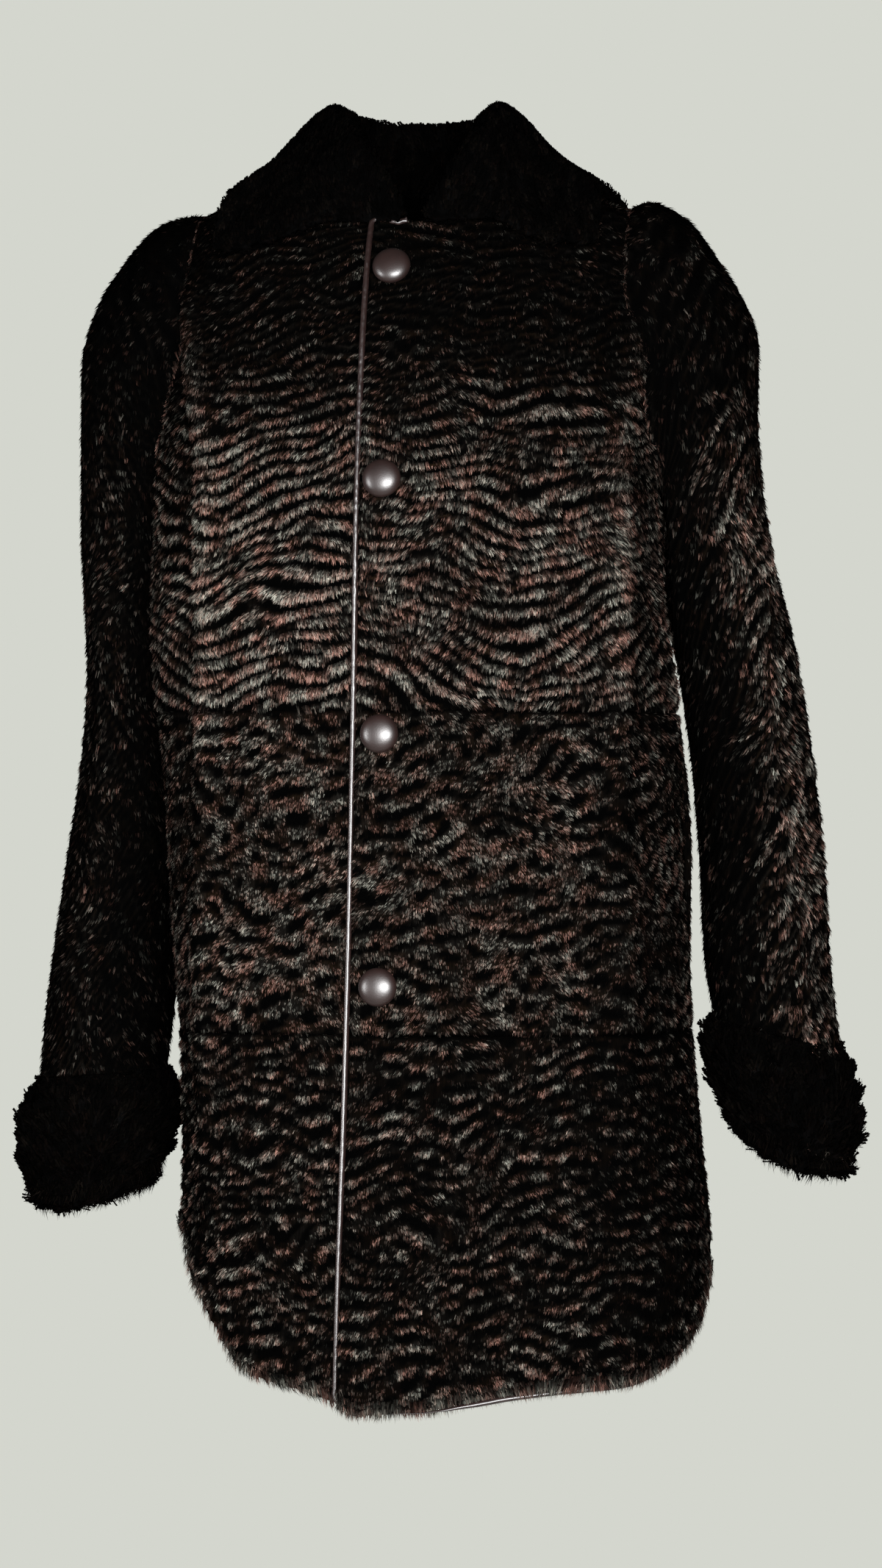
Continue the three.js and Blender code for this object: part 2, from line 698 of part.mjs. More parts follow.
// Covered buttons on the left front.
BUTTON_HEIGHTS.forEach((z, i) => {
  const angle = frontAngle(BUTTON_X, z);
  const profile = BUTTON_PROFILE.map(([radius, height]) => new THREE.Vector2(radius, height));
  const geometry = new THREE.LatheGeometry(profile, 18);
  const button = new THREE.Mesh(geometry, new THREE.MeshStandardMaterial(LEATHER));
  button.name = `button_${i + 1}`;
  button.position.copy(bodyPoint(angle, z, overlapLift(angle, z) + GAP + 0.1));
  button.quaternion.setFromUnitVectors(new THREE.Vector3(0, 1, 0), bodyNormal(angle, z));
  coat.add(button);
});

export default coat;
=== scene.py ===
# Looks of a hip length shearling coat, worn and empty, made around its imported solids.
# Sizes are in millimetres in the tables and become metres when a mesh is made.
import math

import bpy
import numpy as np
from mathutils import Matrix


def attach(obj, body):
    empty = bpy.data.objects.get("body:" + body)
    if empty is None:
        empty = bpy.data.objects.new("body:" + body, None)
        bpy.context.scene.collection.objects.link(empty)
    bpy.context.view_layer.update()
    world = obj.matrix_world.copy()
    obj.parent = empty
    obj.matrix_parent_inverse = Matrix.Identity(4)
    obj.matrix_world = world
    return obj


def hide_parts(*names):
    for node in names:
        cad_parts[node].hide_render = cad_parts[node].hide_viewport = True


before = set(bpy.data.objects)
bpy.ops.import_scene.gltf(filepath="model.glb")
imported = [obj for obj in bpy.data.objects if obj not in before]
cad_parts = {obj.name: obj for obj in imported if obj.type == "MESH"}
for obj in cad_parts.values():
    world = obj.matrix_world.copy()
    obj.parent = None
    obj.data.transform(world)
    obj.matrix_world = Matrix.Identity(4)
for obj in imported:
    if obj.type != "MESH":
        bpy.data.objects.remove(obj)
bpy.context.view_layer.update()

MM = 0.001
IMAGE_HEIGHT = 2133

# Camera, level with the middle of the coat and a little to its left.
CAMERA_TURN = math.radians(9.5)
CAMERA_DISTANCE = 3.9
CAMERA_HEIGHT = -0.406
CAMERA_ASIDE = 0.01275
MM_A_PIXEL = 0.51
SENSOR = 36.0


def place_camera():
    camera = bpy.data.objects.new("camera", bpy.data.cameras.new("camera"))
    bpy.context.scene.collection.objects.link(camera)
    bpy.context.scene.camera = camera
    camera.data.sensor_width = SENSOR
    seen = IMAGE_HEIGHT * MM_A_PIXEL * MM
    camera.data.lens = SENSOR * CAMERA_DISTANCE / seen
    turned = (math.cos(CAMERA_TURN), math.sin(CAMERA_TURN))
    camera.location = (
        CAMERA_ASIDE * turned[0] + CAMERA_DISTANCE * turned[1],
        CAMERA_ASIDE * turned[1] - CAMERA_DISTANCE * turned[0],
        CAMERA_HEIGHT,
    )
    camera.rotation_euler = (math.pi / 2, 0, CAMERA_TURN)


place_camera()

# Cut of the coat

# Thickness of the pelt with its pile, and the gap between neighbouring pieces.
WALL = 8
GAP = 0.3

# Heights of the two joints across the body, and side seams as angles.
UPPER_JOINT = -357
LOWER_JOINT = -573
LEFT_SEAM = 2
RIGHT_SEAM = -168

# Where the left front ends over the right one, and the right one under it.
UNDERLAP_EDGE = 24
OVERLAP_ENDS = 92
FRONT_CORNER = 16

# Outside of the body: height, centre and half width across, centre and half depth.
BODY = np.array([
    (-840, 21, 174, -18, 149),
    (-725, 22, 181, -18, 152),
    (-635, 17, 178, -18, 151),
    (-550, 13, 176, -19, 148),
    (-400, 6, 179, -20, 142),
    (-350, 1, 179, -20, 140),
    (-250, -6, 177, -19, 138),
    (-180, -5, 176, -16, 133),
    (-120, -3, 172, -12, 124),
    (-60, -1, 168, -8, 106),
    (-30, 0, 162, -6, 90),
    (-15, 0, 155, -5, 80),
    (-5, 0, 135, -4, 74),
    (3, -1, 99, -4, 69),
    (9, -2, 73, -3, 65),
    (14, -2, 62, -3, 62),
], float)
CX, W, CY, D = 1, 2, 3, 4

# Roundness of the body's section in front by height: 2 is an ellipse.
FRONT_ROUNDNESS = np.array([
    (-840, 2.9), (-600, 2.8), (-400, 2.55), (-200, 2.35), (-60, 2.2),
], float)
BACK_ROUNDNESS = 2.05

# Height of the neck edge by angle from the centre front.
NECK = np.array([
    (0, -31), (10, -22), (20, -9), (35, 1), (60, 6), (90, 7), (130, 9), (180, 9),
], float)

# Edge of the left front: height and X.
EDGE = np.array([
    (-840, -28), (-740, -25), (-620, -21), (-420, -17), (-150, -15), (0, -16),
], float)

# The hem by angle round the body: the two fronts and the back.
HEM_LEFT = np.array([
    (-98, -825), (-90, -822), (-84, -816), (-76, -811), (-64, -807), (-44, -804),
    (-29, -795), (-10, -770), (-4, -750), (2, -732),
], float)
HEM_RIGHT = np.array([
    (-168, -705), (-158, -713), (-146, -744), (-135, -774), (-125, -799),
    (-106, -811), (-98, -818), (-70, -822),
], float)
HEM_BACK = np.array([
    (2, -733), (8, -755), (18, -781), (34, -803), (60, -812), (90, -815),
    (125, -812), (150, -796), (170, -762), (184, -720), (192, -705),
], float)

# Sleeve rings from the armhole to the wrist: outer point, inner point,
# centre in depth and half depth.
RIGHT_SLEEVE = np.array([
    (126, -25, 124, -188, -4, 58),
    (154, -8, 138, -193, -3, 61),
    (182, -13, 147, -197, 0, 63),
    (209, -36, 153, -202, 5, 64),
    (230, -69, 157, -207, 10, 63),
    (243, -108, 159, -216, 16, 61),
    (246, -152, 161, -230, 23, 59),
    (249, -200, 162, -252, 31, 57),
    (251, -252, 164, -283, 38, 55),
    (251, -312, 167, -326, 45, 54),
    (256, -392, 171, -394, 48, 53),
    (266, -480, 177, -480, 44, 53),
    (274, -560, 183, -560, 35, 53),
    (278, -625, 189, -617, 27, 53),
    (281, -691, 195, -676, 20, 51),
], float)
LEFT_SLEEVE = np.array([
    (130, -22, 126, -186, -4, 58),
    (160, -4, 140, -190, -3, 61),
    (184, -13, 148, -194, 0, 63),
    (204, -37, 153, -198, 5, 64),
    (221, -68, 156, -204, 10, 63),
    (231, -108, 156, -213, 16, 61),
    (229, -155, 154, -228, 23, 59),
    (232, -205, 156, -252, 31, 57),
    (243, -255, 162, -284, 37, 55),
    (257, -315, 172, -328, 42, 54),
    (269, -385, 181, -387, 44, 53),
    (277, -460, 188, -460, 40, 53),
    (281, -538, 192, -525, 33, 53),
    (288, -601, 202, -576, 26, 53),
    (293, -666, 212, -630, 20, 51),
], float)
OX, OZ, IX, IZ, SLEEVE_CY, SLEEVE_D = 1, 2, 3, 4, 5, 6
UNDERARM = -204
SLEEVE_CLEARANCE = 1.2
CUFF_CLEARANCE = 17

# Turned back cuff: distance out from the sleeve, and height above its end.
CUFF = [
    (0.3, 76), (5, 80), (10, 69), (14, 52), (15, 34), (12, 17), (6, 2), (-1, -7),
    (-8, -7), (-8, -0.3), (0.3, -0.3),
]

# Collar places round the neck: angle of the seam from the centre front, fold
# point, outer edge as angle and height, size of the section, shift to the overlap.
COLLAR = np.array([
    (4, 8, -98, -19, 4, -37, 0.42, 11),
    (10, 22, -87, 6, 17, -36, 0.65, 10),
    (22, 40, -66, 36, 26, -42, 0.9, 8),
    (36, 46, -44, 49, 37, -46, 1, 5),
    (54, 55, -22, 57, 48, -44, 1, 0),
    (72, 58, -6, 59, 55, -13, 1, -3),
    (90, 58, 10, 59, 81, 0, 1, -4),
    (106, 56, 27, 58, 112, -5, 1, -4),
    (122, 50, 43, 57, 132, -32, 1, -4),
    (150, 28, 65, 55, 158, -52, 1, -5),
    (180, 0, 74, 54, 180, -58, 1, -5),
], float)
SEAM_A, FX, FY, FZ, EDGE_A, EDGE_Z, SIZE, SHIFT = range(1, 9)
COLLAR_HALF = 5.5
STAND_HALF = 3.8

BINDING_WIDTH = 4
BINDING_CUT = 10.5
BINDING_SINK = 0.8
BINDING_END = -1

BUTTON_HEIGHTS = [-62, -204, -373, -541]
BUTTON_PROFILE = [
    (0, 0), (11.6, 0), (12.6, 0.7), (12.9, 1.9), (12.75, 3.1), (12.2, 4.3), (11.1, 5.6),
    (9.3, 6.8), (6.9, 7.7), (3.6, 8.35), (0, 8.6),
]


# Reads a column of a table at values of its first column, without overshoot.
def read(rows, column, at):
    rows = rows if rows[-1, 0] > rows[0, 0] else rows[::-1]
    keys, values = rows[:, 0], rows[:, column]
    at = np.clip(at, keys[0], keys[-1])
    slopes = np.diff(values) / np.diff(keys)
    before, after = slopes[:-1], slopes[1:]
    product = before * after
    total = np.where(before + after == 0, 1, before + after)
    inner = np.where(product <= 0, 0, 2 * product / total)
    tangents = np.concatenate([slopes[:1], inner, slopes[-1:]])
    i = np.clip(np.searchsorted(keys, at, side="left") - 1, 0, len(keys) - 2)
    span = keys[i + 1] - keys[i]
    t = (at - keys[i]) / span
    t2, t3 = t * t, t * t * t
    return (
        values[i] * (2 * t3 - 3 * t2 + 1) + tangents[i] * span * (t3 - 2 * t2 + t)
        + values[i + 1] * (3 * t2 - 2 * t3) + tangents[i + 1] * span * (t3 - t2)
    )


def smooth(low, high, value):
    t = np.clip((value - low) / (high - low), 0, 1)
    return t * t * (3 - 2 * t)


def unit(vectors):
    length = np.linalg.norm(vectors, axis=-1, keepdims=True)
    return vectors / np.maximum(length, 1e-9)


def stack(x, y, z):
    return np.stack(np.broadcast_arrays(x, y, z), axis=-1).astype(float)


# Point on the outside of the body. Angles are in degrees: -90 is the front,
# 0 the wearer's left side, 90 the back and 180 the right side.
def body_skin(angle, z):
    c, s = np.cos(np.radians(angle)), np.sin(np.radians(angle))
    power = 2 / np.where(s < 0, read(FRONT_ROUNDNESS, 1, z), BACK_ROUNDNESS)
    x = read(BODY, CX, z) + read(BODY, W, z) * np.sign(c) * np.abs(c) ** power
    y = read(BODY, CY, z) + read(BODY, D, z) * np.sign(s) * np.abs(s) ** power
    return stack(x, y, z)


def body_normal(angle, z):
    top = np.minimum(z + 1, BODY[-1, 0])
    across = body_skin(angle + 0.6, z) - body_skin(angle - 0.6, z)
    up = body_skin(angle, top) - body_skin(angle, z - 1)
    return unit(np.cross(across, up))


def body_point(angle, z, lift):
    lift = np.asarray(lift, float)[..., None]
    return body_skin(angle, z) + body_normal(angle, z) * lift


def front_angle(x, z):
    share = (x - read(BODY, CX, z)) / read(BODY, W, z)
    power = read(FRONT_ROUNDNESS, 1, z) / 2
    c = np.sign(share) * np.abs(share) ** power
    return -np.degrees(np.arccos(np.clip(c, -1, 1)))


# How far the left front stands out where it lies over the right one.
def overlap_lift(angle, z):
    x = body_skin(angle, z)[..., 0]
    return (WALL + GAP) * (1 - smooth(UNDERLAP_EDGE + 14, OVERLAP_ENDS, x))


def neck_height(angle):
    return read(NECK, 1, np.minimum(np.abs(angle + 90), 270 - angle))


def left_hem(angle):
    z = read(HEM_LEFT, 1, angle)
    inside = np.maximum(0, FRONT_CORNER - (body_skin(angle, z)[..., 0] - read(EDGE, 1, z)))
    inside = np.minimum(inside, FRONT_CORNER)
    return z + FRONT_CORNER - np.sqrt(FRONT_CORNER ** 2 - inside ** 2)


def left_edge(z):
    return front_angle(read(EDGE, 1, z), z)


def body_side(side, y, z):
    share = np.minimum(1, np.abs(y - read(BODY, CY, z)) / read(BODY, D, z))
    power = np.where(y < read(BODY, CY, z), read(FRONT_ROUNDNESS, 1, z), BACK_ROUNDNESS)
    half = read(BODY, W, z) * (1 - share ** power) ** (1 / power)
    return half + side * read(BODY, CX, z)


# Point on a sleeve ring. The ring number may fall between two rows.
def sleeve_point(table, side, ring, angle, lift):
    rows = np.column_stack([np.arange(len(table)), table])
    ring, angle = np.broadcast_arrays(np.asarray(ring, float), np.asarray(angle, float))
    c, s = np.cos(np.radians(angle)), np.sin(np.radians(angle))
    ox, oz, ix, iz = (read(rows, k, ring) for k in (OX, OZ, IX, IZ))
    ax, az = (ox - ix) / 2, (oz - iz) / 2
    half = np.hypot(ax, az)
    depth = read(rows, SLEEVE_D, ring)
    x = (ox + ix) / 2 + ax * c
    y = read(rows, SLEEVE_CY, ring) + depth * s
    z = (oz + iz) / 2 + az * c
    pressed = 1 - smooth(UNDERARM - 22, UNDERARM + 12, z)
    wrist = table[-1, 1]
    room = SLEEVE_CLEARANCE + CUFF_CLEARANCE * (1 - smooth(wrist + 80, wrist + 130, z))
    reach = body_side(side, y, z) + room
    x = np.where((pressed > 0) & (c < 0) & (x < reach), x + (reach - x) * pressed, x)
    out = unit(stack(ax / half * c / half, s / depth, az / half * c / half))
    point = stack(x, y, z) + out * np.asarray(lift, float)[..., None]
    point[..., 0] *= side
    return point


# Moire of the pile

TILE = 512
CELL = 1.5


# Seamless tile of ripples: their spacing and run in millimetres and degrees,
# and how far they stray from that run.
def ripples(seed, spacing, run=0, stray=9.0, sharp=0.25):
    noise = np.fft.fft2(np.random.default_rng(seed).standard_normal((TILE, TILE)))
    fv, fu = np.meshgrid(np.fft.fftfreq(TILE, CELL), np.fft.fftfreq(TILE, CELL), indexing="ij")
    turn = np.arctan2(fv, fu) - math.radians(run + 90)
    ring = np.exp(-(((np.hypot(fu, fv) * spacing - 1) / sharp) ** 2))
    fan = np.exp(-((np.sin(turn) / stray) ** 2))
    tile = np.fft.ifft2(noise * ring * fan).real
    return tile / tile.std()


def look_up(tile, u, v):
    a, b = np.asarray(v) / CELL, np.asarray(u) / CELL
    r, c = np.floor(a).astype(int), np.floor(b).astype(int)
    s, t = a - r, b - c
    r0, r1, c0, c1 = r % TILE, (r + 1) % TILE, c % TILE, (c + 1) % TILE
    low = tile[r0, c0] * (1 - t) + tile[r0, c1] * t
    high = tile[r1, c0] * (1 - t) + tile[r1, c1] * t
    return low * (1 - s) + high * s


# Ripple tiles: fine on the chest top, long waves over the chest, blots at the
# waist and short curls below. Drifts bend them and patches shade them.
FINE = ripples(11, 8, stray=0.4, sharp=0.28)
LONG = ripples(12, 10.4, stray=0.3, sharp=0.22)
BLOT = ripples(13, 14, stray=0.9, sharp=0.25)
CURL = ripples(14, 11.5, stray=0.7, sharp=0.22)
BREAKS = ripples(19, 5, sharp=0.4)
DRIFT_U = ripples(15, 95, sharp=0.5)
DRIFT_V = ripples(16, 85, sharp=0.5)
PATCH = ripples(17, 60, sharp=0.6)
WARMTH = ripples(18, 24, sharp=0.7)


# Height of the moire from 0 in a valley to 1 on a crest, at places u across
# and v along the pelt. Broad crests are even waves, fine ones are thin lines
# on a dark ground, and cut ones are dark lines on a lighter ground.
def moire(u, v, z, slant, shares, crests="broad"):
    bent_u = u + 4 * look_up(DRIFT_U, u, v)
    bent_v = v - slant + 3.5 * look_up(DRIFT_V, u, v)
    tiles = {"fine": FINE, "long": LONG, "blot": BLOT, "curl": CURL}
    total = sum(shares.values())
    field = sum(share / total * look_up(tiles[name], bent_u, bent_v) for name, share in shares.items())
    spread = np.sqrt(sum((share / total) ** 2 for share in shares.values()))
    field = field / spread + 0.35 * look_up(BREAKS, bent_u, bent_v)
    patch = look_up(PATCH, u, v)
    if crests == "fine":
        height = 0.45 + 0.6 * np.exp(-(((field - 1.3) / 0.4) ** 2)) + 0.06 * np.tanh(patch)
        height -= 0.45 * (1 - smooth(-1.0, -0.3, field))
    elif crests == "cut":
        height = 0.58 + 0.25 * np.exp(-(((field - 1.3) / 0.5) ** 2)) + 0.06 * np.tanh(patch)
        height -= 0.58 * (1 - smooth(-1.1, -0.5, field))
    else:
        strength = 0.8 + 0.2 * np.tanh(1.4 * patch + 0.5)
        height = 0.47 + 0.53 * np.tanh(1.9 * field) * strength
    # Painted shade: the pile darkens towards the top, where the coat faces up, away from the lamps.
    painted_top_shade = 1 - 0.42 * smooth(-215, -80, z)
    return np.clip(height * painted_top_shade, 0, 1)


# Meshes

FRONT_STEP = 3.0
BACK_STEP = 4.5
COARSE = 4


def mesh_object(name, points, faces, looks, values, smooth_shading=True):
    mesh = bpy.data.meshes.new(name)
    mesh.vertices.add(len(points))
    mesh.vertices.foreach_set("co", (points * MM).astype(np.float32).ravel())
    corners = np.concatenate([group.ravel() for group in faces]).astype(np.int32)
    sizes = np.concatenate([np.full(len(group), group.shape[1]) for group in faces])
    mesh.loops.add(len(corners))
    mesh.loops.foreach_set("vertex_index", corners)
    mesh.polygons.add(len(sizes))
    starts = np.concatenate([[0], np.cumsum(sizes)[:-1]]).astype(np.int32)
    mesh.polygons.foreach_set("loop_start", starts)
    of_face = np.concatenate([np.full(len(group), k) for group, k in zip(faces, looks)])
    mesh.polygons.foreach_set("material_index", of_face.astype(np.int32))
    mesh.polygons.foreach_set("use_smooth", np.full(len(sizes), smooth_shading))
    if values is not None:
        pile = mesh.color_attributes.new("pile", "FLOAT_COLOR", "POINT")
        pile.data.foreach_set("color", values.astype(np.float32).ravel())
    mesh.update(calc_edges=True)
    made = bpy.data.objects.new(name, mesh)
    bpy.context.scene.collection.objects.link(made)
    return made


def grid_quads(rows, columns, start, ring, flip):
    across = columns if ring else columns - 1
    r, c = np.meshgrid(np.arange(rows - 1), np.arange(across), indexing="ij")
    a = start + r * columns + c
    b = start + r * columns + (c + 1) % columns
    quads = np.stack([a, b, b + columns, a + columns], axis=-1).reshape(-1, 4)
    return quads[:, ::-1] if flip else quads


# Strip of triangles between a fine edge and a coarse one.
def rim(fine, coarse, flip):
    i = np.arange(len(coarse) - 1)
    half = COARSE // 2
    strips = []
    for j in range(COARSE):
        tip = coarse[i] if j < half else coarse[i + 1]
        strips.append(np.stack([fine[i * COARSE + j], fine[i * COARSE + j + 1], tip], axis=-1))
    strips.append(np.stack([coarse[i], fine[i * COARSE + half], coarse[i + 1]], axis=-1))
    faces = np.concatenate(strips)
    return faces[:, ::-1] if flip else faces


# Closed pelt: a fine pile side and a coarse skin side, joined at the edges.
def pelt(name, outer, inner, values, ring=False):
    rows, columns = outer.shape[:2]
    few_rows, few_columns = inner.shape[:2]
    first = rows * columns
    few = few_rows * few_columns
    points = np.concatenate([outer.reshape(-1, 3), inner.reshape(-1, 3)])
    fine = np.arange(first).reshape(rows, columns)
    coarse = first + np.arange(few).reshape(few_rows, few_columns)
    close = (lambda line: np.append(line, line[0])) if ring else (lambda line: line)
    quads = grid_quads(rows, columns, 0, ring, False)
    skin = grid_quads(few_rows, few_columns, first, ring, True)
    rims = [rim(close(fine[0]), close(coarse[0]), True), rim(close(fine[-1]), close(coarse[-1]), False)]
    if not ring:
        rims += [rim(fine[:, 0], coarse[:, 0], False), rim(fine[:, -1], coarse[:, -1], True)]
    plain = np.tile([0.0, 0.5, 0.5, 1.0], (few, 1))
    shades = np.concatenate([values.reshape(-1, 4), plain])
    return mesh_object(name, points, [quads, np.concatenate(rims), skin], [0, 0, 1], shades)


def arc(points, axis):
    steps = np.linalg.norm(np.diff(points, axis=axis), axis=-1)
    start = np.zeros_like(np.take(steps, [0], axis=axis))
    return np.concatenate([start, np.cumsum(steps, axis=axis)], axis=axis)


def whole_steps(length, step):
    return COARSE * max(2, round(length / step / COARSE))


# Shading values of the pile: height of the moire, warmth and length of hair.
def shading(height, u, v, length=1.0):
    warmth = 0.5 + 0.5 * np.tanh(0.9 * look_up(WARMTH, u, v))
    return np.stack(np.broadcast_arrays(height, warmth, length, 1.0), axis=-1)


def sheet_area(grid):
    a = grid[1:, 1:] - grid[:-1, :-1]
    b = grid[1:, :-1] - grid[:-1, 1:]
    return np.linalg.norm(np.cross(a, b), axis=-1).sum() / 2 * MM * MM


# Cut of a piece from its smooth surface: width and length of the rectangle
# round it, and the share of that rectangle that it fills, in metres.
def cut_of(smooth_grid, ring=False):
    closed = np.concatenate([smooth_grid, smooth_grid[:, :1]], axis=1) if ring else smooth_grid
    width = arc(closed, 1)[:, -1].max() * MM
    length = arc(closed, 0)[-1].max() * MM
    area = sheet_area(closed)
    return {"flat": (width, length), "area": min(area, width * length)}


# Folds of the body, from the shoulder down, as lines of height and X.
FRONT_FOLDS = [
    {"line": [(-700, -128), (-357, -128), (-210, -128), (-133, -140), (-63, -152)], "wide": 8, "high": 6.0},
    {"line": [(-700, 160), (-450, 156), (-320, 152), (-205, 150), (-120, 158), (-63, 165)], "wide": 8, "high": 5.5},
]
BACK_FOLDS = [
    {"line": [(-700, -120), (-400, -126), (-200, -130), (-63, -140)], "wide": 11, "high": 3.5},
    {"line": [(-700, 138), (-400, 132), (-200, 128), (-63, 140)], "wide": 11, "high": 3.5},
    {"line": [(-800, 14), (-600, 8), (-480, 4)], "wide": 16, "high": 3.0},
]


def body_folds(x, y, z):
    lift = np.zeros_like(x)
    for folds, seen in ((FRONT_FOLDS, y < -40), (BACK_FOLDS, y > 0)):
        for fold in folds:
            line = np.array(fold["line"], float)
            away = (x - read(line, 1, z)) / fold["wide"]
            outward = away * np.sign(line[:, 1].mean())
            ridge = np.exp(-(away ** 2)) - 0.45 * np.exp(-((outward - 2.2) ** 2))
            ends = smooth(line[0, 0] - 40, line[0, 0] + 120, z) * (1 - smooth(-95, -45, z))
            lift += fold["high"] * ridge * ends * seen
    return lift


RELIEF = 2.2
SEAM_DEPTH = 0.9
SEAM_WIDE = 1.7

# Painted shade on the pile where it turns to the sides, a painted highlight
# on a fold, length of the hair below the chest, and how much longer it hangs at the hem.
SIDE_SHADE = 0.17
FOLD_SHINE = 0.04
LOW_HAIR = 0.82
HEM_HAIR = 1.4


def chest_shares(z):
    high = smooth(-190, -95, z)
    return {"fine": 0.15 + 0.85 * high, "long": 1.15 - high}


def moire_left(u, v, z):
    chevron = 0.42 * (1 - smooth(-290, -150, z))
    return moire(u, v, z, chevron * np.abs(u - 95), chest_shares(z))


def moire_right(u, v, z):
    beyond = np.maximum(0, -142 - u)
    return moire(u, v, z, 0.2 * u + 0.5 * beyond, chest_shares(z))


def moire_back(u, v, z):
    return moire(u + 230, v + 90, z, 0.12 * np.abs(u - 280), chest_shares(z))


def moire_waist(u, v, z):
    return moire(u + 60, v, z, 0.1 * u, {"blot": 1.0, "curl": 0.55}, "cut")


def moire_skirt(u, v, z):
    return moire(u + 120, v, z, 0.05 * u, {"curl": 1.0, "long": 0.35}, "fine")


CHEST = (moire_left, moire_right, moire_back)


# Places on one body panel, even along its width and height.
def panel_grid(shape, columns, rows):
    middle = (shape["from"](-400.0) + shape["to"](-400.0)) / 2
    shares = np.linspace(0, 1, 241)
    run = shape["bottom"](middle) + (shape["top"](middle) - shape["bottom"](middle)) * shares
    length = arc(body_skin(np.full_like(run, middle), run), 0)
    height = np.interp(np.linspace(0, length[-1], rows + 1), length, shares)[:, None]
    share = np.linspace(0, 1, 401)[None, :]
    angle = shape["from"](-400.0) + (shape["to"](-400.0) - shape["from"](-400.0)) * share + 0 * height
    for _ in range(4):
        z = shape["bottom"](angle) + (shape["top"](angle) - shape["bottom"](angle)) * height
        angle = shape["from"](z) + (shape["to"](z) - shape["from"](z)) * share
    along = arc(body_skin(angle, z), 1)
    even = np.linspace(0, 1, columns + 1)
    places = np.stack([
        np.interp(even * line[-1], line, row) for line, row in zip(along, angle)
    ])
    z = shape["bottom"](places) + (shape["top"](places) - shape["bottom"](places)) * height
    return places, z


def body_pelt(name, shape):
    rough_angle, rough_z = panel_grid(shape, 40, 20)
    rough = body_skin(rough_angle, rough_z)
    step = BACK_STEP if name.startswith("back") else FRONT_STEP
    columns = whole_steps(arc(rough, 1)[:, -1].max(), step)
    rows = whole_steps(arc(rough, 0)[-1].max(), step)
    angle, z = panel_grid(shape, columns, rows)
    skin = body_skin(angle, z)
    base = shape["lift"](angle, z)
    across, up = arc(skin, 1), arc(skin, 0)
    start = shape["start"]
    u = across - across[:, -1:] + UNDERLAP_EDGE if start is None else across + start
    v = up + z[:1]
    # Painted shade: the pile darkens where the body turns to its sides, away from the lamps.
    turned = smooth(118, 152, np.abs(skin[..., 0] - 6))
    height = shape["moire"](u, v, z) * shape["light"] * (1 - SIDE_SHADE * turned)
    seams = np.zeros_like(z)
    for distance in shape["seams"](across, up):
        seams = np.maximum(seams, np.exp(-((distance / SEAM_WIDE) ** 2)))
    sway = 1.6 * look_up(DRIFT_V, u * 0.45, v * 0.3)
    folds = body_folds(skin[..., 0], skin[..., 1], z)
    # Painted highlight on the ridges of the folds.
    height = np.clip(height + FOLD_SHINE * np.maximum(0, folds) * smooth(-430, -340, z), 0, 1)
    lift = base + (height - 1) * RELIEF - seams * SEAM_DEPTH + folds + sway * (1 - seams)
    outer = body_point(angle, z, lift)
    few = (slice(None, None, COARSE), slice(None, None, COARSE))
    inner = body_point(angle[few], z[few], base[few] - WALL)
    fringe = (1 - smooth(2, 8, up)) * shape["hangs"]
    height = np.maximum(height * (1 - 0.5 * seams), 0.55 * fringe)
    values = shading(height, u, v, (1.0 if shape["moire"] in CHEST else LOW_HAIR) + HEM_HAIR * fringe)
    return pelt(name, outer, inner, values), cut_of(body_point(angle, z, base))


def joints_and_sides(low, high, left, right):
    def distances(across, up):
        found = []
        if low:
            found.append(up)
        if high:
            found.append(up[-1:] - up)
        if left:
            found.append(across)
        if right:
            found.append(across[:, -1:] - across)
        return found
    return distances


def at(value):
    return lambda where: value + 0 * where


SEAM = 0.12
# Each side's light is painted shade where it is below 1: the left front and the back are painted darker than the
# right front.
SIDES = {
    "front_left": {
        "from": left_edge, "to": at(LEFT_SEAM - SEAM), "hem": left_hem, "lift": overlap_lift,
        "start": -16.0, "upper": moire_left, "sewn": (False, True), "light": 0.92,
    },
    "front_right": {
        "from": at(RIGHT_SEAM + SEAM), "to": lambda z: front_angle(UNDERLAP_EDGE, z),
        "hem": lambda a: read(HEM_RIGHT, 1, a), "lift": lambda a, z: 0 * z,
        "start": None, "upper": moire_right, "sewn": (True, False), "light": 1.0,
    },
    "back": {
        "from": at(LEFT_SEAM + SEAM), "to": at(RIGHT_SEAM + 360 - SEAM),
        "hem": lambda a: read(HEM_BACK, 1, a), "lift": lambda a, z: 0 * z,
        "start": 0.0, "upper": moire_back, "sewn": (True, True), "light": 0.95,
    },
}

# How light the pile is from level to level.
PANEL_LIGHT = {"upper": 1.0, "middle": 0.94, "lower": 0.86}

cuts = {}
pelts = {}
for side_name, side in SIDES.items():
    levels = {
        "upper": (at(UPPER_JOINT + GAP / 2), neck_height, side["upper"], (True, False)),
        "middle": (at(LOWER_JOINT + GAP / 2), at(UPPER_JOINT - GAP / 2), moire_waist, (True, True)),
        "lower": (side["hem"], at(LOWER_JOINT - GAP / 2), moire_skirt, (False, True)),
    }
    for level, (bottom, top, pattern, joined) in levels.items():
        shape = dict(side, bottom=bottom, top=top, moire=pattern, hangs=level == "lower")
        shape["light"] = side["light"] * PANEL_LIGHT[level]
        shape["seams"] = joints_and_sides(*joined, *side["sewn"])
        node = f"{side_name}_{level}"
        pelts[node], cuts[node] = body_pelt(node + "_pelt", shape)

# Sleeves

# Folds of a sleeve: line of ring and angle, width in degrees, height.
SLEEVE_FOLDS = {
    "left": [
        {"line": [(4, -8), (7, -12), (9, -53), (10.5, -58), (12, -62)], "wide": 15, "high": 5.0},
        {"line": [(7.5, 150), (9, 120), (10.5, 100)], "wide": 18, "high": 4.0},
    ],
    "right": [
        {"line": [(3.5, -30), (6, -42), (9, -60), (11, -72)], "wide": 17, "high": 3.5},
        {"line": [(7.5, 140), (9, 118), (10.5, 96)], "wide": 18, "high": 4.0},
    ],
}
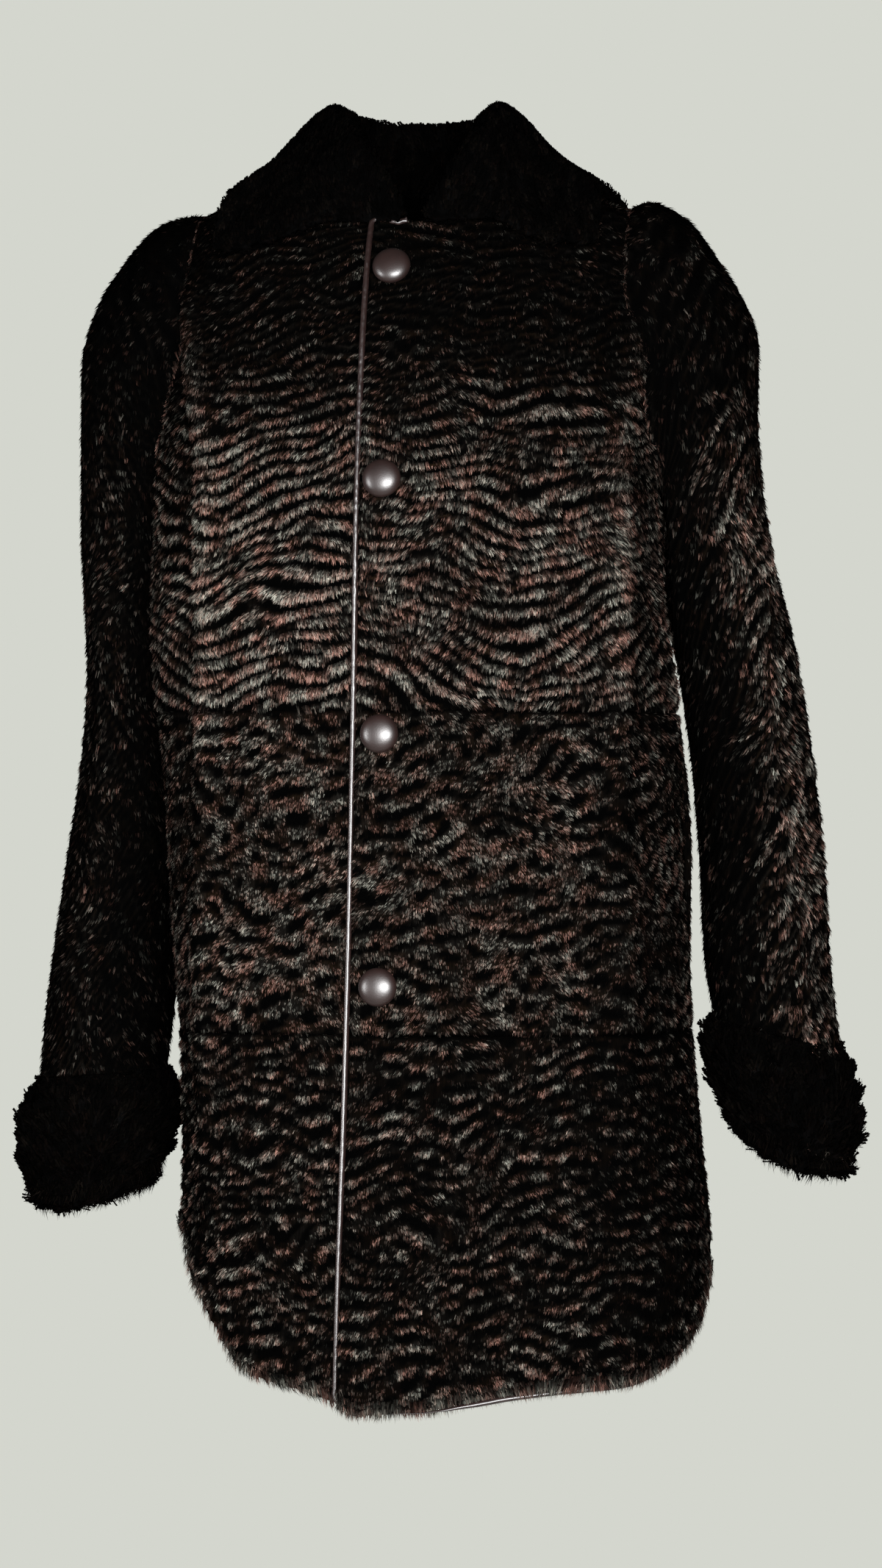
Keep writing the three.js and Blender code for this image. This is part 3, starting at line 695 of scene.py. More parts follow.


# Painted light and shade on each sleeve's pile: where it faces the light, as a turn
# in front of its outer side, how light it is painted elsewhere, and how light it is painted there.
LIT_PILE = {"left": (40, 0.42, 0.86), "right": (75, 0.4, 0.6)}


def sleeve_folds(name, ring, angle):
    turn = (angle + 180) % 360 - 180
    lift = np.zeros(np.broadcast(ring, angle).shape)
    for fold in SLEEVE_FOLDS[name]:
        line = np.array(fold["line"], float)
        away = ((turn - read(line, 1, ring) + 180) % 360 - 180) / fold["wide"]
        first, last = line[0, 0], line[-1, 0]
        ends = smooth(first - 1, first + 0.8, ring) * (1 - smooth(last - 1, last + 1, ring))
        ridge = np.exp(-(away ** 2)) - 0.45 * np.exp(-((away - 2.1) ** 2))
        lift += fold["high"] * ridge * ends
    return lift


SLEEVES = {"left": (1, LEFT_SLEEVE), "right": (-1, RIGHT_SLEEVE)}

# Ring from which a sleeve is free of the body.
SHOWN_RING = 4


def sleeve_places(table, side):
    last = len(table) - 1
    ring = np.linspace(0, last, 281)
    spine = (sleeve_point(table, side, ring, 0.0, 0.0) + sleeve_point(table, side, ring, 180.0, 0.0)) / 2
    length = arc(spine, 0)
    rows = whole_steps(length[-1] * 1.12, BACK_STEP)
    rings = np.interp(np.linspace(0, length[-1], rows + 1), length, ring)[:, None]
    turn = np.linspace(0, 360, 361)[None, :]
    round_it = sleeve_point(table, side, rings, turn, 0.0)
    along = arc(round_it, 1)
    columns = whole_steps(along[:, -1].max(), BACK_STEP)
    even = np.arange(columns) / columns
    angles = np.stack([np.interp(even * line[-1], line, turn[0]) for line in along])
    return rings + 0 * angles, angles, columns


def sleeve_pelt(name):
    side, table = SLEEVES[name]
    rings, angles, columns = sleeve_places(table, side)
    smooth_grid = sleeve_point(table, side, rings, angles, 0.0)
    closed = np.concatenate([smooth_grid, smooth_grid[:, :1]], axis=1)
    u = arc(closed, 1)[:, :-1]
    half = arc(closed, 1)[:, -1:] / 2
    outward = np.abs(u - half)
    u = outward * side + 300 * (side < 0)
    v = -arc(smooth_grid, 0)
    outside = np.cos(np.radians(angles))
    slant = -0.3 * np.maximum(0, outward - 0.45 * half)
    shares = {
        "fine": 0.2 + 0.8 * (1 - smooth(1, 4, rings)),
        "long": 1.0 + 0 * rings,
        "blot": 0.8 * smooth(8, 11, rings),
    }
    turn, least, most = LIT_PILE[name]
    # Painted light: the pile is lighter where the sleeve faces the lamps, painted shade elsewhere.
    lit = np.exp(-((((angles + 90) % 360 - 90 + turn) / 50) ** 2))
    height = moire(u, v, smooth_grid[..., 2], slant, shares) * (least + (most - least) * lit)
    folds = sleeve_folds(name, rings, angles) * (1 - smooth(0.2, 0.6, -outside))
    lift = (height - 1) * RELIEF + folds + 1.2 * look_up(DRIFT_U, u * 0.5, v * 0.35)
    pressed = (smooth_grid[..., 2] < UNDERARM) & (outside < 0)
    lift = np.where(pressed, np.minimum(lift, 0), lift)
    outer = sleeve_point(table, side, rings, angles, lift)
    inner = sleeve_point(table, side, rings[::COARSE, ::COARSE], angles[::COARSE, ::COARSE], -WALL)
    values = shading(height, u, v)
    if side > 0:
        outer, inner, values = outer[:, ::-1], inner[:, ::-1], values[:, ::-1]
        outer, values = np.roll(outer, 1, axis=1), np.roll(values, 1, axis=1)
        inner = np.roll(inner, 1, axis=1)
    shown = smooth_grid[rings[:, 0] >= SHOWN_RING]
    return pelt(f"sleeve_{name}_pelt", outer, inner, values, ring=True), cut_of(shown, True)


for sleeve_name in SLEEVES:
    node = f"sleeve_{sleeve_name}"
    pelts[node], cuts[node] = sleeve_pelt(sleeve_name)


# Closed solid from a row of closed sections, with flat ends.
def sweep(name, sections, values=None):
    count, sides = sections.shape[:2]
    quads = grid_quads(count, sides, 0, True, False)
    ends = [np.arange(sides)[None, ::-1], (count - 1) * sides + np.arange(sides)[None, :]]
    return mesh_object(name, sections.reshape(-1, 3), [quads, *ends], [0, 0, 0], values)


def cut_away(piece, cutter):
    change = piece.modifiers.new("cut", "BOOLEAN")
    change.operation = "DIFFERENCE"
    change.solver = "MANIFOLD"
    change.object = cutter
    seen = piece.evaluated_get(bpy.context.evaluated_depsgraph_get())
    mesh = bpy.data.meshes.new_from_object(seen)
    piece.modifiers.clear()
    piece.data = mesh


# Armholes: the sleeves' inner sides are taken out of the upper panels, and
# the hollow of the body out of the sleeves.
def armhole_cutter(name):
    side, table = SLEEVES[name]
    ring = np.linspace(0, 7, 40)[:, None]
    angle = np.linspace(0, 360, 72, endpoint=False)[None, :]
    sections = sleeve_point(table, side, ring, angle, -3.0)
    return sweep(f"armhole_{name}", sections[:, ::-1] if side > 0 else sections)


def hollow_cutter():
    level = np.linspace(0, 1, 70)
    z = (-400 + 404 * (1 - (1 - level) ** 1.5))[:, None]
    angle = (np.linspace(0, 360, 120, endpoint=False) - 90)[None, :]
    return sweep("body_hollow", body_point(angle, z, 3.0 - WALL))


cutters = [armhole_cutter(sleeve_name) for sleeve_name in SLEEVES]
hollow = hollow_cutter()
for upper in ("front_left_upper", "front_right_upper", "back_upper"):
    for cutter in cutters:
        cut_away(pelts[upper], cutter)
for sleeve_name in SLEEVES:
    cut_away(pelts[f"sleeve_{sleeve_name}"], hollow)
for cutter in [*cutters, hollow]:
    bpy.data.objects.remove(cutter)

# Cuffs

LUMPS = ripples(21, 19, sharp=0.5)
TUFTS = ripples(22, 8, sharp=0.4)
CUFF_PILE = 4.5
CUFF_ROUND = 120
CUFF_SIDES = 60


def cuff(name):
    side, table = SLEEVES[name]
    last = len(table) - 1
    length = table[-2, 1] - table[-1, 1]
    profile = np.array(CUFF + CUFF[:1], float)
    run = arc(profile, 0)
    even = np.linspace(0, run[-1], CUFF_SIDES + 1)[:-1]
    out = np.interp(even, run, profile[:, 0])
    up = np.interp(even, run, profile[:, 1])
    angle = np.linspace(0, 360, CUFF_ROUND, endpoint=False)[:, None]
    around = np.radians(angle) * 55
    lump = look_up(LUMPS, around * side + 90, even[None, :])
    outside = smooth(4, 12, even) * (1 - smooth(96, 108, even))
    lift = out * (0.35 + 0.65 * smooth(3, 26, even)) - outside * (CUFF_PILE - 1.5 * lump)
    lift = np.maximum(lift, np.where(outside > 0.5, 0.6, -99))
    points = sleeve_point(table, side, last - np.maximum(0, up) / length, angle, lift)
    points[..., 2] -= np.maximum(0, -up)
    points[..., 2] -= 10 * np.sin(np.radians(angle)) ** 2 * (1 - smooth(0, 45, up))
    height = 0.5 + 0.25 * lump + 0 * points[..., 0]
    short = 0.3 + 0.7 * smooth(8, 30, even) + 0 * around
    values = shading(np.clip(height, 0, 1), around, even[None, :] + 0 * around, short)
    sections = points if side < 0 else points[:, ::-1]
    values = (values if side < 0 else values[:, ::-1]).reshape(-1, 4)
    rows, columns = sections.shape[:2]
    r, c = np.meshgrid(np.arange(rows), np.arange(columns), indexing="ij")
    a, b = r * columns + c, r * columns + (c + 1) % columns
    below = ((r + 1) % rows) * columns
    quads = np.stack([a, b, below + (c + 1) % columns, below + c], axis=-1).reshape(-1, 4)
    made = mesh_object(f"cuff_{name}_pelt", sections.reshape(-1, 3), [quads], [0], values)
    girth = arc(np.concatenate([points, points[:1]]), 0)[-1].max() * MM
    return made, {"flat": (girth, run[-1] / 2 * MM), "area": None}


for sleeve_name in SLEEVES:
    pelts[f"cuff_{sleeve_name}"], cuts[f"cuff_{sleeve_name}"] = cuff(sleeve_name)


# Collar

# Points of a smooth curve through a few points, at even steps of its parts.
def curve_through(points, steps):
    points = np.asarray(points, float)
    padded = np.concatenate([[2 * points[0] - points[1]], points, [2 * points[-1] - points[-2]]])
    place = np.linspace(0, len(points) - 1, steps + 1)
    i = np.minimum(place.astype(int), len(points) - 2)
    t = (place - i)[:, None]
    p0, p1, p2, p3 = (padded[i + k] for k in range(4))
    spans = ((p0, p1), (p1, p2), (p2, p3))
    d0, d1, d2 = (np.sqrt(np.linalg.norm(b - a, axis=-1))[:, None] for a, b in spans)
    m1 = ((p1 - p0) / d0 - (p2 - p0) / (d0 + d1) + (p2 - p1) / d1) * d1
    m2 = ((p2 - p1) / d1 - (p3 - p1) / (d1 + d2) + (p3 - p2) / d2) * d1
    return p1 + m1 * t + (3 * (p2 - p1) - 2 * m1 - m2) * t ** 2 + (2 * (p1 - p2) + m1 + m2) * t ** 3


COLLAR_STEPS = 30


def collar_line(place):
    last = len(COLLAR) - 1
    sign = -1 if place > last else 1
    where = 2 * last - place if place > last else place
    rows = np.column_stack([np.arange(len(COLLAR)), COLLAR])
    a, fx, fy, fz, ea, ez, size, shift = (float(read(rows, k, np.float64(where))) for k in range(1, 9))
    turn = shift * 0.35 * (1 - float(smooth(0, 4, where)))
    wrap = lambda angle: angle + 360 if angle < -180 else angle
    ez += (5 if sign > 0 else 9) * (1 - float(smooth(1, 3.5, where)))
    seam = wrap(-90 + sign * a + turn) if sign < 0 else -90 + sign * a + turn
    edge = wrap(-90 + sign * ea + turn)
    neck_z = float(neck_height(seam))
    overlap = max(0.0, float(overlap_lift(seam, neck_z))) * (sign > 0)
    rise = unit(body_skin(seam, neck_z + 1) - body_skin(seam, neck_z - 1))
    foot = body_point(seam, neck_z, overlap - WALL / 2) + rise * (GAP + 0.3)
    fold = np.array([sign * fx + shift, fy, fz])
    away = unit(np.array([fold[0] - 4, fold[1], 0.0]))
    down = np.array([0.0, 0.0, 1.0])
    stand = fold - away * 3 * size - down * 15 * size
    fall = fold + away * 11 * size - down * 6 * size
    end = body_point(edge, ez, COLLAR_HALF * size + 1 + overlap)
    middle = (fall + end) / 2 - down * 5 * size
    return curve_through([foot, stand, fold, fall, middle, end], COLLAR_STEPS), size


def collar():
    places = np.linspace(0, 2 * (len(COLLAR) - 1), 181)
    lines, sizes = zip(*[collar_line(place) for place in places])
    lines, sizes = np.array(lines), np.array(sizes)[:, None]
    around = np.gradient(lines, axis=0)
    along = np.gradient(lines, axis=1)
    normal = unit(np.cross(around, along))
    k = np.arange(COLLAR_STEPS + 1)[None, :] / COLLAR_STEPS
    thick = (STAND_HALF + (COLLAR_HALF - STAND_HALF) * smooth(0.15, 0.5, k)) * sizes
    thick = thick * (1 - 0.45 * smooth(0.93, 1, k))
    u = arc(lines, 0)[:, 15:16] + 0 * k
    v = arc(lines, 1)
    lump = look_up(LUMPS, u, v) + 0.5 * look_up(TUFTS, u, v)
    upper = lines + normal * (thick * 0.6 + 1.6 * lump * smooth(0.05, 0.3, k) * sizes)[..., None]
    under = lines - normal * (thick * 0.75)[..., None]
    sections = np.concatenate([upper, under[:, ::-1]], axis=1)
    tone = np.clip(0.5 + 0.3 * lump, 0, 1)
    ends = smooth(0, 12, np.minimum(u, u.max() - u))
    values = shading(tone, u, v, (0.25 + 0.75 * ends) * (1 - 0.45 * smooth(0.85, 1, k)))
    values = np.concatenate([values, values[:, ::-1]], axis=1).reshape(-1, 4)
    count, sides = sections.shape[:2]
    quads = grid_quads(count, sides, 0, True, False)
    hidden = (np.arange(len(quads)) % sides) >= COLLAR_STEPS + 1
    ends = [np.arange(sides)[None, ::-1], (count - 1) * sides + np.arange(sides)[None, :]]
    made = mesh_object(
        "collar_pelt", sections.reshape(-1, 3), [quads[~hidden], quads[hidden], *ends], [0, 1, 0, 0], values,
    )
    long_side = arc(lines, 0)[-1].max() * MM
    depth = arc(lines, 1)[:, -1].max() * MM
    return made, {"flat": (long_side, depth), "area": sheet_area(lines)}


pelts["collar"], cuts["collar"] = collar()


# Pile

# Numbers of one kind, read from all items of a mesh.
def numbers(items, kind, width=1, whole=False):
    found = np.empty(len(items) * width, np.int32 if whole else np.float32)
    items.foreach_get(kind, found)
    return found.reshape(-1, width) if width > 1 else found


# Hairs lying on a pelt, each one long thin triangle. They run downwards, sit
# mostly on the crests, and sink at the root and lift at the tip.
def pile(name, piece, seed, hair, count, look):
    rng = np.random.default_rng(seed)
    mesh = piece.data
    mesh.calc_loop_triangles()
    corners = numbers(mesh.loop_triangles, "vertices", 3, whole=True)
    of_polygon = numbers(mesh.loop_triangles, "polygon_index", whole=True)
    side = numbers(mesh.polygons, "material_index", whole=True)
    corners = corners[side[of_polygon] == 0]
    points = numbers(mesh.vertices, "co", 3).astype(float) / MM
    normals = numbers(mesh.vertex_normals, "vector", 3).astype(float)
    values = numbers(mesh.color_attributes["pile"].data, "color", 4).astype(float)
    a, b, c = (points[corners[:, k]] for k in range(3))
    area = np.linalg.norm(np.cross(b - a, c - a), axis=-1) / 2
    height = values[corners, 0].mean(axis=1)
    crest = np.clip((height - 0.35) / 0.5, 0, 1)
    chance = area * ((1 - hair["crests"]) + hair["crests"] * crest)
    bunch = hair["bunch"]
    tufts = count // bunch
    count = tufts * bunch
    picked = rng.choice(len(corners), tufts, p=chance / chance.sum())
    first, second = rng.random(tufts), rng.random(tufts)
    over = first + second > 1
    first, second = np.where(over, 1 - first, first), np.where(over, 1 - second, second)
    share = np.stack([1 - first - second, first, second], axis=-1)[..., None]
    middle = (points[corners[picked]] * share).sum(axis=1)
    normal = unit((normals[corners[picked]] * share).sum(axis=1))
    value = (values[corners[picked]] * share).sum(axis=1)
    bright = rng.uniform(*hair["tone"], (tufts, 1))
    middle, normal, value, bright = (
        np.repeat(part, bunch, axis=0) for part in (middle, normal, value, bright)
    )
    across = unit(np.cross(normal, [0.0, 0.0, 1.0]))
    middle = middle + across * rng.normal(0, hair["wide"] * 0.6, (count, 1))
    stray = rng.normal(0, hair["wild"], (count, 3))
    swirl = 0.35 * np.stack([
        look_up(DRIFT_U, middle[:, 0] + middle[:, 1], middle[:, 2]),
        look_up(DRIFT_V, middle[:, 0] - middle[:, 1], middle[:, 2]), 0 * middle[:, 0],
    ], axis=-1)
    flow = np.array([0, 0, -1.0]) + stray + swirl
    flow = unit(flow - normal * (flow * normal).sum(axis=-1, keepdims=True))
    size = (hair["long"] * rng.uniform(0.65, 1.25, count) * value[:, 2])[:, None]
    root = middle - flow * size / 2 - normal * hair["sink"]
    rise = (hair["rise"] * rng.uniform(0.4, 1.3, count) * value[:, 2])[:, None]
    tip = middle + flow * size / 2 + normal * rise
    axis = unit(tip - root)
    flat = unit(np.cross(normal, axis))
    turn = rng.normal(0, hair["turn"], count)[:, None]
    flat = flat * np.cos(turn) + np.cross(axis, flat) * np.sin(turn)
    half = flat * hair["wide"] / 2
    hairs = np.stack([root - half, root + half, tip], axis=1).reshape(-1, 3)
    tone = np.clip(value[:, :1] * bright * rng.uniform(0.8, 1.2, (count, 1)), 0, 1)
    warm = np.clip(value[:, 1:2] + rng.normal(0, 0.2, (count, 1)), 0, 1)
    chance_value = rng.random((count, 1))
    full = np.ones((count, 1))
    # Painted shade at the root: each hair is painted at 0.3 of its tone there, lighter towards the tip.
    at_root = np.concatenate([tone * 0.3, warm, chance_value, full], axis=-1)
    at_tip = np.concatenate([tone, warm, chance_value, full], axis=-1)
    shades = np.stack([at_root, at_root, at_tip], axis=1).reshape(-1, 4)
    faces = np.arange(count * 3).reshape(-1, 3)
    made = mesh_object(name, hairs, [faces], [0], shades, smooth_shading=False)
    made.data.materials.append(look)
    return made


# Leather

CRINKLE = ripples(31, 4.2, stray=9, sharp=0.5)


def binding_path():
    edge_x = lambda z: read(EDGE, 1, np.float64(z))
    top_x, corner, low = 7, 5, HEM_LEFT[0, 1]
    places = []

    def put(x, z):
        places.append((float(front_angle(np.float64(x), np.float64(z))), float(z)))

    for share in np.linspace(0, 0.85, 20):
        x = top_x + (edge_x(-35) + corner - top_x) * share
        put(x, neck_height(front_angle(x, np.float64(-28))))
    corner_z = float(neck_height(left_edge(np.float64(-33))))
    put(edge_x(-33) + 2.2, corner_z - 0.2)
    for z in np.linspace(corner_z - 2.5, low + FRONT_CORNER, 480):
        places.append((float(left_edge(np.float64(z))), float(z)))
    for turn in np.radians(np.linspace(6, 90, 15)):
        x = edge_x(low) + FRONT_CORNER * (1 - math.cos(turn))
        put(x, low + FRONT_CORNER * (1 - math.sin(turn)))
    start = float(front_angle(edge_x(low) + FRONT_CORNER, np.float64(low)))
    for angle in np.linspace(start, BINDING_END, 161)[1:]:
        places.append((float(angle), float(left_hem(np.float64(angle)))))
    return np.array(places)


# Rounded strip folded round the edge: distance past the edge, and depth.
BINDING_SECTION = [
    (0.0, 1.9), (0.5, 0.9), (1.2, 0.3), (2.0, 0.05), (2.8, 0.3), (3.5, 1.0), (3.9, 2.1),
    (4.0, 3.4), (4.0, 5.2), (3.6, 6.6), (2.6, 7.2), (1.2, 7.3), (0.0, 7.2),
]


# How far the strip is tucked under the pile: not at the edge, but at the hem.
def tucked(z):
    return 1 - smooth(HEM_LEFT[0, 1] + 2, HEM_LEFT[0, 1] + 12, z)


def binding():
    path = binding_path()
    angle, z = path[:, 0], path[:, 1]
    lift = overlap_lift(angle, z)
    skin = body_point(angle, z, lift)
    normal = body_normal(angle, z)
    along = unit(np.gradient(skin, axis=0))
    out = -unit(np.cross(normal, along))
    run = arc(skin, 0)
    section = np.array(BINDING_SECTION, float)
    pucker = smooth(-420, -120, z) * 0.30 + 0.12
    crease = look_up(CRINKLE, run[:, None] * 1.0, np.arange(len(section))[None, :] * 2.0)
    depth = section[None, :, 1] + BINDING_SINK - pucker[:, None] * crease
    past = GAP + section[None, :, 0] * (1 - 0.75 * tucked(z))[:, None]
    sections = skin[:, None] + out[:, None] * past[..., None] - normal[:, None] * depth[..., None]
    values = np.tile([0.5, 0.5, 0.5, 1.0], (sections.shape[0] * sections.shape[1], 1))
    made = sweep("edge_binding", sections, values)
    return made, {"flat": (BINDING_CUT * MM, run[-1] * MM), "area": None}


binding_piece, binding_cut = binding()


# Covered button: a domed disc with its leather drawn over the rim.
def button(number, height):
    turn = np.linspace(0, 2 * math.pi, 56, endpoint=False)
    profile = np.array(BUTTON_PROFILE[1:-1], float)
    z = np.float64(height)
    angle = front_angle(np.float64(0), z)
    place = body_point(angle, z, overlap_lift(angle, z) + GAP + 0.1)
    axis = body_normal(angle, z)
    east = unit(np.cross(np.array([0, 0, 1.0]), axis))
    north = np.cross(axis, east)
    spread = east * np.cos(turn)[:, None] + north * np.sin(turn)[:, None]
    out, up = profile[:, 0][:, None, None], profile[:, 1][:, None, None]
    rings = place + spread[None] * out + axis * up
    points = np.concatenate([rings.reshape(-1, 3), [place, place + axis * BUTTON_PROFILE[-1][1]]])
    count, sides = rings.shape[:2]
    quads = grid_quads(count, sides, 0, True, False)
    foot, crown = len(points) - 2, len(points) - 1
    k = np.arange(sides)
    under = np.stack([(k + 1) % sides, k, np.full(sides, foot)], axis=-1)
    top = (count - 1) * sides
    over = np.stack([top + k, top + (k + 1) % sides, np.full(sides, crown)], axis=-1)
    values = np.tile([0.5, 0.5, 0.5, 1.0], (len(points), 1))
    faces = [quads, np.concatenate([under, over])]
    return mesh_object(f"button_{number}_cover", points, faces, [0, 0], values)


buttons = [button(i + 1, height) for i, height in enumerate(BUTTON_HEIGHTS)]


# Materials

def colour(code, alpha=1.0):
    parts = [int(code[i:i + 2], 16) / 255 for i in (1, 3, 5)]
    return (*[p / 12.92 if p <= 0.04045 else ((p + 0.055) / 1.055) ** 2.4 for p in parts], alpha)


# Adds a node with its settings, and its inputs as values or links.
def add(tree, kind, inputs=None, **settings):
    made = tree.nodes.new(kind)
    for name, value in settings.items():
        setattr(made, name, value)
    for name, value in (inputs or {}).items():
        if isinstance(value, bpy.types.NodeSocket):
            tree.links.new(value, made.inputs[name])
        else:
            made.inputs[name].default_value = value
    return made


def new_material(name):
    material = bpy.data.materials.new(name)
    material.use_nodes = True
    material.node_tree.nodes.clear()
    return material, material.node_tree


def finish_material(tree, shader):
    add(tree, "ShaderNodeOutputMaterial", {"Surface": shader.outputs["BSDF"]})


# Sheared lamb pile, brushed into a moire. The moire is the pile's own pattern, and its colour
# also carries painted light: near black in the valleys, partly the pile's own dark colour and
# partly painted shade, and a painted highlight, brown to grey, on the crests, where the grey is
# a painted glint and hair streaks break the highlight up. Hairs are 0.05 mm wide in the pelt,
# and the streaks here are 1.2 mm, so that they show. The higher the fall, the faster the colour
# drops to the deep one below a crest.
def lamb_pile(name, deep, grey_glint, warm, fall, roughness, specular):
    material, tree = new_material(name)
    pile_value = add(tree, "ShaderNodeAttribute", attribute_name="pile")
    parts = add(tree, "ShaderNodeSeparateColor", {"Color": pile_value.outputs["Color"]})
    place = add(tree, "ShaderNodeTexCoord")
    streaks = 1 / (1.2 * MM)
    stretched = add(tree, "ShaderNodeVectorMath", {
        0: place.outputs["Object"], 1: (streaks, streaks, streaks / 7),
    }, operation="MULTIPLY")
    hair = add(tree, "ShaderNodeTexNoise", {"Vector": stretched.outputs[0], "Scale": 1.0, "Detail": 2.0})
    tint = add(tree, "ShaderNodeMix", {
        "Factor": parts.outputs["Green"], 6: colour(grey_glint), 7: colour(warm),
    }, data_type="RGBA")
    crest = add(tree, "ShaderNodeMath", {0: parts.outputs["Red"], 1: fall}, operation="POWER")
    # Hair streaks break up the painted highlight on the crests.
    streaked_highlight = add(tree, "ShaderNodeMapRange", {
        "Value": hair.outputs["Fac"], "From Min": 0.3, "From Max": 0.7, "To Min": 0.35, "To Max": 1.15,
    })
    amount = add(tree, "ShaderNodeMath", {0: crest.outputs[0], 1: streaked_highlight.outputs[0]}, operation="MULTIPLY")
    shade = add(tree, "ShaderNodeMix", {
        "Factor": amount.outputs[0], 6: colour(deep), 7: tint.outputs[2],
    }, data_type="RGBA")
    bump = add(tree, "ShaderNodeBump", {
        "Height": hair.outputs["Fac"], "Strength": 0.6, "Distance": 0.6 * MM,
    })
    shader = add(tree, "ShaderNodeBsdfPrincipled", {
        "Base Color": shade.outputs[2], "Roughness": roughness, "Specular IOR Level": specular,
        "Normal": bump.outputs["Normal"],
    })
    finish_material(tree, shader)
    return material


# Flesh side of the pelt, buffed to a suede: dull brown with a soft nap.
def buffed_suede():
    material, tree = new_material("buffed_lamb_suede")
    place = add(tree, "ShaderNodeTexCoord")
    nap = add(tree, "ShaderNodeTexNoise", {
        "Vector": place.outputs["Object"], "Scale": 1 / (4 * MM), "Detail": 4.0,
    })
    shade = add(tree, "ShaderNodeMix", {
        "Factor": nap.outputs["Fac"], 6: colour("#2a1a14"), 7: colour("#3d281f"),
    }, data_type="RGBA")
    bump = add(tree, "ShaderNodeBump", {"Height": nap.outputs["Fac"], "Strength": 0.3, "Distance": 0.4 * MM})
    shader = add(tree, "ShaderNodeBsdfPrincipled", {
        "Base Color": shade.outputs[2], "Roughness": 0.9, "Specular IOR Level": 0.2,
        "Sheen Weight": 0.3, "Sheen Roughness": 0.5, "Sheen Tint": colour("#6a4a3c"),
        "Normal": bump.outputs["Normal"],
    })
    finish_material(tree, shader)
    return material


# Nappa leather, drummed soft and lightly finished: an even dark red brown
# with a satin gloss. Its grain is 0.3 mm in the hide and 0.9 mm here.
def nappa_leather():
    material, tree = new_material("nappa_leather")
    place = add(tree, "ShaderNodeTexCoord")
    grain = add(tree, "ShaderNodeTexVoronoi", {
        "Vector": place.outputs["Object"], "Scale": 1 / (0.9 * MM),
    }, feature="SMOOTH_F1")
    cloud = add(tree, "ShaderNodeTexNoise", {
        "Vector": place.outputs["Object"], "Scale": 1 / (9 * MM), "Detail": 3.0,
    })
    shade = add(tree, "ShaderNodeMix", {
        "Factor": cloud.outputs["Fac"], 6: colour("#0e0706"), 7: colour("#1c0f0d"),
    }, data_type="RGBA")
    bump = add(tree, "ShaderNodeBump", {
        "Height": grain.outputs["Distance"], "Strength": 0.22, "Distance": 0.15 * MM,
    })
    shader = add(tree, "ShaderNodeBsdfPrincipled", {
        "Base Color": shade.outputs[2], "Roughness": 0.4, "Specular IOR Level": 0.55,
        "Coat Weight": 0.15, "Coat Roughness": 0.25, "Normal": bump.outputs["Normal"],
    })
    finish_material(tree, shader)
    return material


# The third colour of each pile is a painted glint, grey on the crests.
body_skin_look = lamb_pile("sheared_lamb_ground", "#010101", "#161412", "#181009", 2.4, 0.9, 0.0)
body_pile = lamb_pile("sheared_lamb_pile", "#010101", "#a5a599", "#a27669", 2.5, 0.6, 0.0)
long_skin_look = lamb_pile("long_lamb_ground", "#010101", "#040404", "#040303", 1.2, 0.9, 0.0)
long_pile = lamb_pile("long_lamb_pile", "#010101", "#15120f", "#120b08", 1.5, 0.6, 0.0)
suede = buffed_suede()
leather = nappa_leather()

# Tufts of the piles: how many a square millimetre, their length and width, how
# deep the root sits and how far the tip stands off, how wild they run and turn,
# how much they keep to the crests, how many stand in a bunch, and the spread of
# the brightness of the bunches.
SHORT_HAIR = {
    "dense": 0.45, "long": 5.2, "wide": 1.1, "sink": 1.2, "rise": 1.6, "wild": 0.13,
    "turn": 0.35, "crests": 0.92, "bunch": 3, "tone": (0.4, 1.35),
}
COLLAR_HAIR = {
    "dense": 0.75, "long": 9, "wide": 1.1, "sink": 1.5, "rise": 3.4, "wild": 0.2,
    "turn": 0.5, "crests": 0.2, "bunch": 2, "tone": (0.2, 1.1),
}
CUFF_HAIR = {
    "dense": 0.75, "long": 15, "wide": 1.2, "sink": 2.0, "rise": 6.0, "wild": 0.3,
    "turn": 0.6, "crests": 0.2, "bunch": 2, "tone": (0.2, 1.1),
}
LONG_HAIR = {"collar": COLLAR_HAIR, "cuff_left": CUFF_HAIR, "cuff_right": CUFF_HAIR}

# Share of the hairs on each kind of piece. Fewer hairs are wider and longer.
HAIR_SHARE = {"front": 0.88, "sleeve": 0.38, "back": 0.28, "collar": 0.42, "cuff": 0.46}


def side_area(piece):
    polygons = piece.data.polygons
    side = numbers(polygons, "material_index", whole=True)
    return float(numbers(polygons, "area")[side == 0].sum()) / MM ** 2


for number, (node, piece) in enumerate(pelts.items()):
    fur = long_pile if node in LONG_HAIR else body_pile
    ground = long_skin_look if node in LONG_HAIR else body_skin_look
    piece.data.materials.clear()
    piece.data.materials.append(ground)
    piece.data.materials.append(suede)
    share = HAIR_SHARE[node.split("_")[0]]
    hair = LONG_HAIR.get(node, SHORT_HAIR)
    hair = dict(hair, wide=hair["wide"] / share ** 0.5, long=hair["long"] / share ** 0.2)
    count = int(side_area(piece) * hair["dense"] * share)
    hairs = pile(node + "_pile", piece, 100 + number, hair, count, fur)
    for made in (piece, hairs):
        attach(made, "root")
    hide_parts(node)

